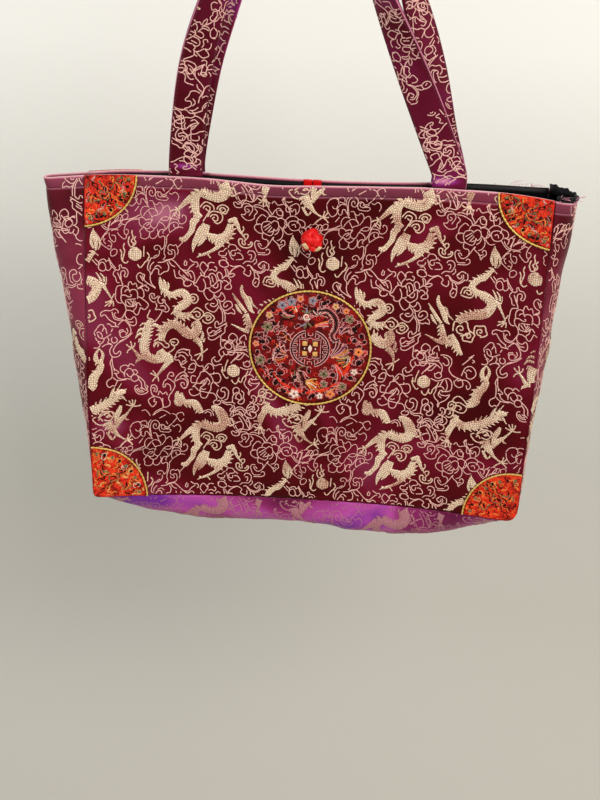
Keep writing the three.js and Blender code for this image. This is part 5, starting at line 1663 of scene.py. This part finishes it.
def patch_drawing(radius, top, right_side):
    """The cloth of a patch: fine scrolls all over, waves that fan out, and a cloud band by the cord."""
    golden = not top and not right_side
    if top:
        silks = [BLACK, SCARLET, OLIVE, BLACK, ORANGE, BLACK, SCARLET, BLACK, ROSE]
    else:
        silks = [BLACK, SCARLET, ORANGE, SCARLET] + [YELLOW] * golden
    strokes = scrolls(radius * 1.2, 330 if top else 380, 2.7, silks)
    shift = 0.35 * right_side + 0.8 * (not top)
    for k in range(6):
        kinds = [(BLACK, SCARLET), (SCARLET, BLACK), (ORANGE, BLACK)][k % 3]
        strokes += waves(3 + 6.5 * k * math.cos(shift), 2 + 5.5 * k * (1 - 0.5 * math.cos(shift)),
                         0.95 - 0.25 * shift, radius * 0.7, 2, 1.4, kinds, 1.1)
    for k in range(9):
        angle = 0.1 + k * 0.17
        x, d = about(0, 0, radius - 5.5, angle)
        kind = ((YELLOW, CREAM, ORANGE) if golden else (ORANGE, SCARLET, YELLOW))[k % 3]
        strokes += curl(x, d, 2.7, angle, 1 - 2 * (k % 2), kind, (OLIVE, BLACK)[k % 2], 0.5)
    for k in range(4):
        x, d = about(0, 0, radius * 0.6, 0.25 + k * 0.36)
        strokes += fan(x, d, 0.9 + 1.3 * k, 8, 1.5, [OLIVE, ORANGE, BLACK, SCARLET, OLIVE], 0.4, 0.5)
    return strokes


print("a top patch has", len(patch_drawing(44.5, True, False)), "strokes")


# %% Figures laid on the medallions and patches
SILK_MARGIN = 0.9         # from the edge of a patch or medallion to its figures
ONCE = (0, 0, 1, 1)       # a span for strokes that don't repeat


def over_the_patches(lay):
    """lay for the outer face of a patch or medallion instead of the panel's."""
    return lambda a, b, lift: lay(a, b, lift + APPLIQUE_TOP)


def patch_silks(face, side, top):
    """The figures of a corner patch, drawn in mm inwards from its corner."""
    radius, down = PATCH_REACH[top, side]
    corner_x, corner_d = side * (SEAM_X - PATCH_INSET), 0 if top else PANEL_H - PATCH_INSET
    flat = (down if top else -down) / radius

    def place(x, d):
        return corner_x - side * x, (corner_d + d * flat) / PANEL_H

    def covered(x, d):
        return (np.hypot(x, d) < radius - SILK_MARGIN) & (np.minimum(x, d) > 0.8)
    return woven(over_the_patches(lays[face + "_panel"]), place, covered, ONCE,
                 patch_drawing(radius, top, side > 0))


for face in ("front", "back"):
    part = woven(over_the_patches(lays[face + "_panel"]), lambda x, d: (x, (d + MEDALLION_DROP) / PANEL_H),
                 lambda x, d: np.hypot(x, d) < MEDALLION - SILK_MARGIN, ONCE, medallion)
    cloth_object(face + "_medallion_silk_figures", part, medallion_silks)
    for side in (-1, 1):
        for top in (True, False):
            cloth_object(patch_name(face, top, side) + "_silk_figures", patch_silks(face, side, top),
                         patch_silk_materials)

# %% The figures on the panels, gussets and base
SEAM_MARGIN, RIM_MARGIN = 1.5, 1.2     # from the seams and the rim to the figures
DRAGONS_FROM = 128                     # how far below the rim a gusset's dragons begin


def clear_of_applied(x, d, margin=2.6):
    """True on a panel where no patch, medallion or cord covers the figures."""
    clear = np.hypot(x, d - MEDALLION_DROP) > MEDALLION + margin
    for side in (-1, 1):
        for top, drop in ((True, 0), (False, PANEL_H)):
            across, down = PATCH_REACH[top, side]
            clear &= np.hypot((x - side * SEAM_X) / (across + margin), (d - drop) / (down + margin)) > 1
    return clear & (np.abs(x) < SEAM_X - SEAM_MARGIN) & (d > RIM_MARGIN) & (d < PANEL_H - SEAM_MARGIN)


def gusset_figures(name, start):
    """Flowers all over a gusset, and dragons and clouds on its lower part.

    start is the place of the repeat at which the gusset was cut, across and down.
    """
    def place(x, d):
        return (x - start - HALF_GUSSET) / HALF_GUSSET, (d - start) / PANEL_H

    def covered(x, d):
        between_seams = np.abs(x - start - HALF_GUSSET) < HALF_GUSSET - SEAM_MARGIN
        return between_seams & (d - start > RIM_MARGIN) & (d - start < PANEL_H - SEAM_MARGIN)

    def low(x, d):
        return covered(x, d) & (d - start > DRAGONS_FROM)
    span = start, start, start + 2 * HALF_GUSSET, start + PANEL_H
    return join([woven(lays[name], place, covered, span, None, packed_flowers),
                 woven(lays[name], place, low, span, None, packed_beasts)])


figures = {}
for name in ("front_panel", "back_panel"):
    figures[name] = woven(lays[name], lambda x, d: (x - SEAM_X, d / PANEL_H),
                          lambda x, d: clear_of_applied(x - SEAM_X, d), (0, 0, 2 * SEAM_X, PANEL_H))
figures["left_gusset"] = gusset_figures("left_gusset", 112)
figures["right_gusset"] = gusset_figures("right_gusset", 16)
figures["base_panel"] = woven(
    lays["base_panel"], lambda x, d: ((x - SEAM_X) / SEAM_X, (d - HALF_GUSSET) / HALF_GUSSET),
    lambda x, d: ((np.abs(x - SEAM_X) < SEAM_X - SEAM_MARGIN)
                  & (np.abs(d - HALF_GUSSET) < HALF_GUSSET - SEAM_MARGIN)),
    (0, 0, 2 * SEAM_X, 2 * HALF_GUSSET))


def stitches(length, drop, each=3.2, gap=0.9):
    """A row of machine stitches across a piece, below its rim."""
    count = int(length / each)
    return [(np.array([(each * k + gap / 2, drop, 0.4), (each * (k + 0.5), drop, 0.6),
                       (each * (k + 1) - gap / 2, drop, 0.4)]), TOPSTITCH) for k in range(count)]


for name in ("front_panel", "back_panel", "left_gusset", "right_gusset"):
    panel = "panel" in name
    half = SEAM_X if panel else HALF_GUSSET
    across = 1 if panel else HALF_GUSSET
    # on a panel the stitches run over the two top patches
    over_all = lambda a, b, lift, lay=lays[name], height=APPLIQUE_TOP if panel else 0: lay(
        a, b, lift + height * (np.hypot(np.abs(a) - SEAM_X, b * PANEL_H) < PATCH_REACH[True, -1][0]))
    row = woven(over_all, lambda x, d, half=half, across=across: ((x - half) / across, d / PANEL_H),
                lambda x, d, half=half: np.abs(x - half) < half - 1, ONCE, stitches(2 * half, HEM))
    figures[name] = join([figures[name], row])
for name, part in figures.items():
    if "base" in name:
        # All the base's figures take the gold thread painted dim: painted shade.
        threads = brocade_on(base_ground, gold_with_painted_shade_of_the_base, gold_with_painted_shade_of_the_base, gold_with_painted_shade_of_the_base)
    else:
        threads = brocade_on(panel_ground)
    cloth_object(name + "_figures", part, threads)

# %% [markdown]
# ## Handles
# Each strap is a flat tube of brocade with a soft core. It goes up from the rim on its
# flat side, leans in, turns a quarter about itself and lies flat over the arch. Its figures
# are strips of the panels' repeat, and its ends are caught in the hem.

# %% The straps' routes
STRAP_WIDTH, STRAP_THICK, STRAP_END_THICK, STRAP_TAPER = 29.0, 5.0, 3.0, 15.0
HALF_STRAP = STRAP_WIDTH / 2
RIM_Y, ARCH_Y = 8.0, 16.0          # from the middle of the bag to a strap, at the rim and the top
ARCH_TOP, STRAP_FOOT = 260.0, 9    # the arch's height, and the straight bit at each foot
STRAP_CLEARANCE = 0.3
SIDE_POWER, FACE_POWER = 0.45, 0.7     # of the strap's section: how blunt its edges are
# Places (x, height) up each leg, read from the photograph as far as it shows them, to about
# 150 mm, and guessed above that, as are the arches' middles and radii
arches = {"front": (-20, 32), "back": (-2, 34)}
legs = {
    "front": ([(-109, 42), (-101, 95), (-86, 145), (-66, 195)],
              [(98, 42), (73.5, 95), (48.5, 148), (28, 195)]),
    "back": ([(-107, 42), (-95, 95), (-76, 145), (-54, 195)],
             [(102, 42), (89, 95), (72.5, 147), (52, 195)]),
}


def strap_path(face):
    """The middle line of a strap, the way its flat side faces, and each place's share."""
    outward = -1 if face == "front" else 1
    arch_x, arch_radius = arches[face]
    over = [(arch_x - arch_radius * math.cos(math.pi * k / 4),
             ARCH_TOP - STRAP_CLEARANCE - arch_radius * (1 - math.sin(math.pi * k / 4)))
            for k in range(5)]
    left_leg, right_leg = legs[face]
    left_foot, right_foot = [[(side * STRAP_X, 0), (side * STRAP_X, STRAP_FOOT)] for side in (-1, 1)]
    route = left_foot + left_leg + over + right_leg[::-1] + right_foot[::-1]
    points = [(x, outward * mix(RIM_Y, ARCH_Y, smooth(z / ARCH_TOP)), STRAP_CLEARANCE + z)
              for x, z in route]
    path = curve_through(points, 1.5)
    share = np.linspace(0, 1, len(path))
    along = unit(np.gradient(path, axis=0))
    facing = np.array([0, outward, 0.0])
    up = unit(facing - along * np.sum(along * facing, -1, keepdims=True))
    twist = (np.pi / 2 * smooth(1 - np.abs(2 * share - 1)) * -outward)[:, None]
    up = up * np.cos(twist) + np.cross(along, up) * np.sin(twist)
    return path, up, share


def soft_section(half_width, half_thick):
    """A flat tube's section with round edges, as an oval raised to a power."""
    section = oval(1.0, 1.0, 28)
    size, power = np.array([half_width, half_thick]), np.array([SIDE_POWER, FACE_POWER])
    return size * np.sign(section) * np.abs(section) ** power


def strap_thickness(run, length):
    """A strap is thin at its two ends, where it is stitched down."""
    from_end = np.minimum(run, length - run)
    return mix(STRAP_END_THICK, STRAP_THICK, smooth(from_end / STRAP_TAPER))


for face in ("front", "back"):
    path, up, share = strap_path(face)
    run = share * np.sum(np.linalg.norm(np.diff(path, axis=0), axis=1))
    thick = strap_thickness(run, run[-1])
    sections = np.stack([soft_section(HALF_STRAP, t / 2) for t in thick])
    made = cloth_object(face + "_handle_strap", sweep(path, up, sections), [strap_ground],
                        body=face + "_handle")
    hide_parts(face + "_handle")
    inner = np.stack([soft_section(HALF_STRAP - 1.6, t / 2 - 1.1) for t in thick])
    made = cloth_object(face + "_handle_padding", sweep(path, up, inner), [wadding], body=face + "_handle")
    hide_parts(face + "_handle_core")

# %% The straps' figures and stitches
def strap_lay(face, side):
    """lay(run, across, lift) over the outer (1) or inner (-1) side of a strap."""
    path, up, _ = strap_path(face)
    run = distances(path)
    over = np.cross(up, unit(np.gradient(path, axis=0)))

    def along(values, at):
        """Values of the path's places at other distances along it."""
        return np.stack([np.interp(at, run, values[:, k]) for k in range(3)], -1)

    def lay(a, b, lift):
        a, b, lift = np.broadcast_arrays(a, b, lift)
        edge = np.minimum(np.abs(b) / HALF_STRAP, 1) ** (2 / SIDE_POWER)
        rise = strap_thickness(a, run[-1]) / 2 * (1 - edge) ** (FACE_POWER / 2)
        sideways = along(over, a) * b[..., None]
        return along(path, a) + sideways + along(up, a) * (side * (rise + lift))[..., None]
    return lay, run[-1]


def strap_figures(lay, length, shift):
    """Flowers along one side of a strap, some dragons and clouds, and the stitches at its edges.

    shift is the place across the repeat at which the strap was cut.
    """
    def place(x, d):
        return x, d - HALF_STRAP - shift

    def covered(x, d):
        return (np.abs(d - HALF_STRAP - shift) < HALF_STRAP - 0.7) & (x > 2) & (x < length - 2)

    def few(x, d):
        return covered(x, d) & (x // 87 % 3 == 1)

    def moved_place(x, d):
        return x - 60, d - HALF_STRAP - shift - 110

    def between(x, d):
        on_strap = np.abs(d - HALF_STRAP - shift - 110) < HALF_STRAP - 0.7
        return on_strap & (x > 62) & (x < length + 58) & (x // 29 % 3 != 1)
    span = 0, shift, length, shift + STRAP_WIDTH
    moved_span = 0, shift + 110, length + 60, shift + 110 + STRAP_WIDTH
    rows = stitches(length, -HALF_STRAP + 1.7) + stitches(length, HALF_STRAP - 1.7)
    return [woven(lay, place, covered, span, None, packed_flowers),
            woven(lay, place, few, span, None, packed_beasts),
            woven(lay, moved_place, between, moved_span, None, packed_flowers),
            woven(lay, lambda x, d: (x, d), lambda x, d: x * 0 == 0, ONCE, rows)]


for face in ("front", "back"):
    parts = []
    for side, shift in ((1, 68), (-1, 174)):
        lay, length = strap_lay(face, side)
        parts += strap_figures(lay, length, shift)
    cloth_object(face + "_handle_figures", join(parts), brocade_on(strap_ground), body=face + "_handle")

# %% Strap ends inside the hem
STRAP_END_DEPTH = 12.0     # how far a strap's end reaches below the rim
for front in (True, False):
    for side in (-1, 1):
        name = f"{'front' if front else 'back'}_handle_{'left' if side < 0 else 'right'}_end"
        part = slab(lays["front_panel" if front else "back_panel"], panel_domain,
                    spread([side * STRAP_X - HALF_TAB + 0.4, side * STRAP_X + HALF_TAB - 0.4], 2),
                    spread([0.4, STRAP_END_DEPTH], 1.5), constant(INTERLINING_TOP),
                    constant(INTERLINING_UNDER), front, flat_panel)
        made = cloth_object(name + "_cloth", part, [strap_ground])
        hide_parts(name)

# %% [markdown]
# ## Button and loop
# The knot button is a ball of one satin tube that runs over and under itself. The loop is a
# flat strip of the same satin, sewn to the back rim, and it hangs inside the mouth. Both are
# sweeps along a curve. A shank of five turned threads holds the knot to the front panel.

# %% The button loop
LOOP_X, LOOP_Y = -4.0, 4.7                           # its middle's place at the rim
LOOP_STRANDS, LOOP_EYE, LOOP_LENGTH = 8.0, 23.5, 72.0     # its strands' distance, its eye and its reach
LOOP_HALF_WIDTH, LOOP_HALF_THICK = 3.7, 1.6
loop_top = float(height_at(np.array(LOOP_X), np.array(0.0))) + 0.8
eye = LOOP_EYE / 2
beside = [(eye * math.sin(math.pi * k / 4), eye - LOOP_LENGTH - eye * math.cos(math.pi * k / 4))
          for k in (3, 2, 1)]
half_loop = [(LOOP_STRANDS / 2, -LOOP_LENGTH * share) for share in (0, 0.25, 0.5)] + beside
loop_route = [(-x, z) for x, z in half_loop] + [(0, -LOOP_LENGTH)] + half_loop[::-1]
path = curve_through([(LOOP_X + x, LOOP_Y, loop_top + z) for x, z in loop_route], 0.8)
loop_up = np.broadcast_to(np.array([0, -1.0, 0]), path.shape)
made = cloth_object("button_loop_strip", sweep(path, loop_up, oval(LOOP_HALF_WIDTH, LOOP_HALF_THICK, 16)),
                    [red_satin], body="button_loop")
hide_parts("button_loop")

# %% The knot button
KNOT_CENTRE = np.array([-1.4, -23.4, -46.6])
KNOT_RADIUS, KNOT_TUBE, KNOT_CORE = 6.9, 3.15, 7.0


def knot_path(tilt):
    """A knot of three leads and four bights: it crosses over and under itself in turn."""
    t = np.linspace(0, 6 * np.pi, 361)
    from_pole = np.pi / 2 - 1.02 * np.cos(4 * t / 3)
    reach = KNOT_RADIUS + 1.1 * np.sin(8 * t / 3)
    ball = np.stack([reach * np.sin(from_pole) * np.cos(t), -reach * np.cos(from_pole),
                     reach * np.sin(from_pole) * np.sin(t)], -1)
    c, s = math.cos(tilt), math.sin(tilt)
    turned = np.stack([ball[:, 0], c * ball[:, 1] - s * ball[:, 2], s * ball[:, 1] + c * ball[:, 2]], -1)
    return turned + KNOT_CENTRE


path = knot_path(0.35)
angle = np.linspace(0, 2 * np.pi, 19)[:-1]
pleat = 1 + 0.05 * np.sin(np.arange(len(path)) * 0.9)[:, None] * np.cos(3 * angle)[None]
ring = oval(KNOT_TUBE * pleat, 0.8 * KNOT_TUBE * pleat, 18)
knot = [sweep(path, path - KNOT_CENTRE, ring, closed=True)]
# a ball of the same satin fills the middle
core_share = np.linspace(-1, 1, 13)
core = KNOT_CENTRE + core_share[:, None] * np.array([0, KNOT_CORE, 0])
core_radii = KNOT_CORE * np.sqrt(np.maximum(0.02, 1 - core_share ** 2))
core_ring = np.stack([oval(radius, radius, 18) for radius in core_radii])
knot.append(sweep(core, np.broadcast_to([0, 0, 1.0], core.shape), core_ring))
made = cloth_object("knot_button_folds", join(knot), [red_satin])
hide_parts("knot_button")

# Two groups of three short gold folds shine on the knot's front
FOLD_HALF_LENGTH, FOLD_APART, FOLD_RADIUS, FOLD_HEIGHT = 3.2, 1.1, 0.85, 0.2
fold_share = np.linspace(-1, 1, 15)
gold_folds = []
for x, z, lean in ((-5.0, -3.2, -0.9), (5.8, -6.0, 0.75)):
    along = np.array([math.cos(lean), math.sin(lean)])
    across = np.array([-math.sin(lean), math.cos(lean)])
    for k in (-1, 0, 1):
        run = np.linspace(-FOLD_HALF_LENGTH, FOLD_HALF_LENGTH, len(fold_share))[:, None]
        flat_line = np.array([x, z]) + along * run + across * FOLD_APART * k
        outer = (KNOT_RADIUS + KNOT_TUBE + FOLD_HEIGHT) ** 2
        depth = np.sqrt(np.maximum(outer - (flat_line ** 2).sum(1), 1.0))
        line = KNOT_CENTRE + np.stack([flat_line[:, 0], -depth, flat_line[:, 1]], -1)
        thick = FOLD_RADIUS * np.sqrt(np.maximum(0.03, 1 - fold_share ** 2))[:, None, None]
        gold_folds.append(sweep(line, line - KNOT_CENTRE, thick * oval(1.0, 0.7, 8)))
cloth_object("knot_button_gold_folds", join(gold_folds), [gold_tissue])

# %% The thread shank
STRANDS, STRAND_REACH, STRAND_RADIUS = 5, 1.15, 0.75
path = curve_through([KNOT_CENTRE + (0.0, y, 0.0) for y in (9.2, 10.2, 11.2, 12.3)], 0.25)
strands = []
for k in range(STRANDS):
    around = 2 * np.pi * k / STRANDS + np.linspace(0, 2.2, len(path))
    strand = path + np.stack([STRAND_REACH * np.cos(around), 0 * around, STRAND_REACH * np.sin(around)], -1)
    strands.append(sweep(strand, np.broadcast_to([0, 0, 1.0], strand.shape),
                         oval(STRAND_RADIUS, STRAND_RADIUS, 8)))
made = cloth_object("button_shank_threads", join(strands), [red_thread])
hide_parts("button_shank")

# %% [markdown]
# ## The open right end
# In the photograph black satin stands out of the rim at the right in a rucked lip, and loose
# pink threads stick up there. The lip is one closed tube over the gusset's rim. The threads
# are thin sweeps. Their roots and leans come from one seeded source, so every run is alike.

# %% The lining that stands out of the right end
lay = lays["right_gusset"]
s = np.linspace(-0.97, 0.97, 61)
lip = []
for lift, rise in ((-2.9, -7), (-2.7, -1), (-2.4, 3.4), (-1.3, 4.6), (0.2, 4.2), (1.1, 2.2), (0.5, 0.9),
                   (-0.4, 2.6), (-1.2, 3.2), (-1.9, 2.2), (-2.0, -2), (-2.1, -7)):
    ruck = 0.6 * np.sin(s * 19 + rise) + 0.4 * np.sin(s * 41)
    place = lay(s, 0 * s + 1.5 / PANEL_H, lift + 0.35 * ruck * (lift > -2))
    lip.append(place + np.array([0, 0, 1.0]) * (rise + ruck * smooth((rise + 2) / 4) + 1.5)[:, None])
grid = np.stack(lip, 1)
n, m = grid.shape[:2]
quads, first_cap, last_cap = tube_quads(n, m)
quads = np.concatenate([quads, first_cap[:, ::-1], last_cap])
flats = np.stack(np.broadcast_arrays(s[:, None] * HALF_GUSSET, np.arange(m)[None] * 2.0), -1)
part = grid.reshape(-1, 3), quads, np.zeros(len(quads), int), flats.reshape(-1, 2)
cloth_object("right_end_lining_lip", part, [black_satin])

# %% Loose threads at the right end of the rim
LOOSE_THREADS, LOOSE_RADIUS = 26, 0.16
random = np.random.default_rng(5)
root_drop = np.array(0.5 / PANEL_H)
loose = []
for k in range(LOOSE_THREADS):
    if k % 2 == 0:
        root = lays["right_gusset"](np.array(random.uniform(-0.9, 0.3)), root_drop, np.array(0.2))
    else:
        root = lays["back_panel"](np.array(random.uniform(150, 192)), root_drop, np.array(-0.5))
    lean = random.uniform(-5, 5, 3) * (1, 0.8, 0.6)
    route = curve_through([root, root + (0.4, 0, 2.0), root + (1.2, -0.6, 3.6) + lean * 0.4,
                           root + (2.4, -1.2, 3.8) + lean], 0.8)
    loose.append(sweep(route, np.broadcast_to([0.1, -1.0, 0], route.shape),
                       oval(LOOSE_RADIUS, LOOSE_RADIUS, 8)))
cloth_object("loose_threads_at_the_right_end", join(loose), [loose_thread])

# %% The size, and the end
size = {"cad": [list(v) for v in cad_box], "visual": [list(v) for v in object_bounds()]}
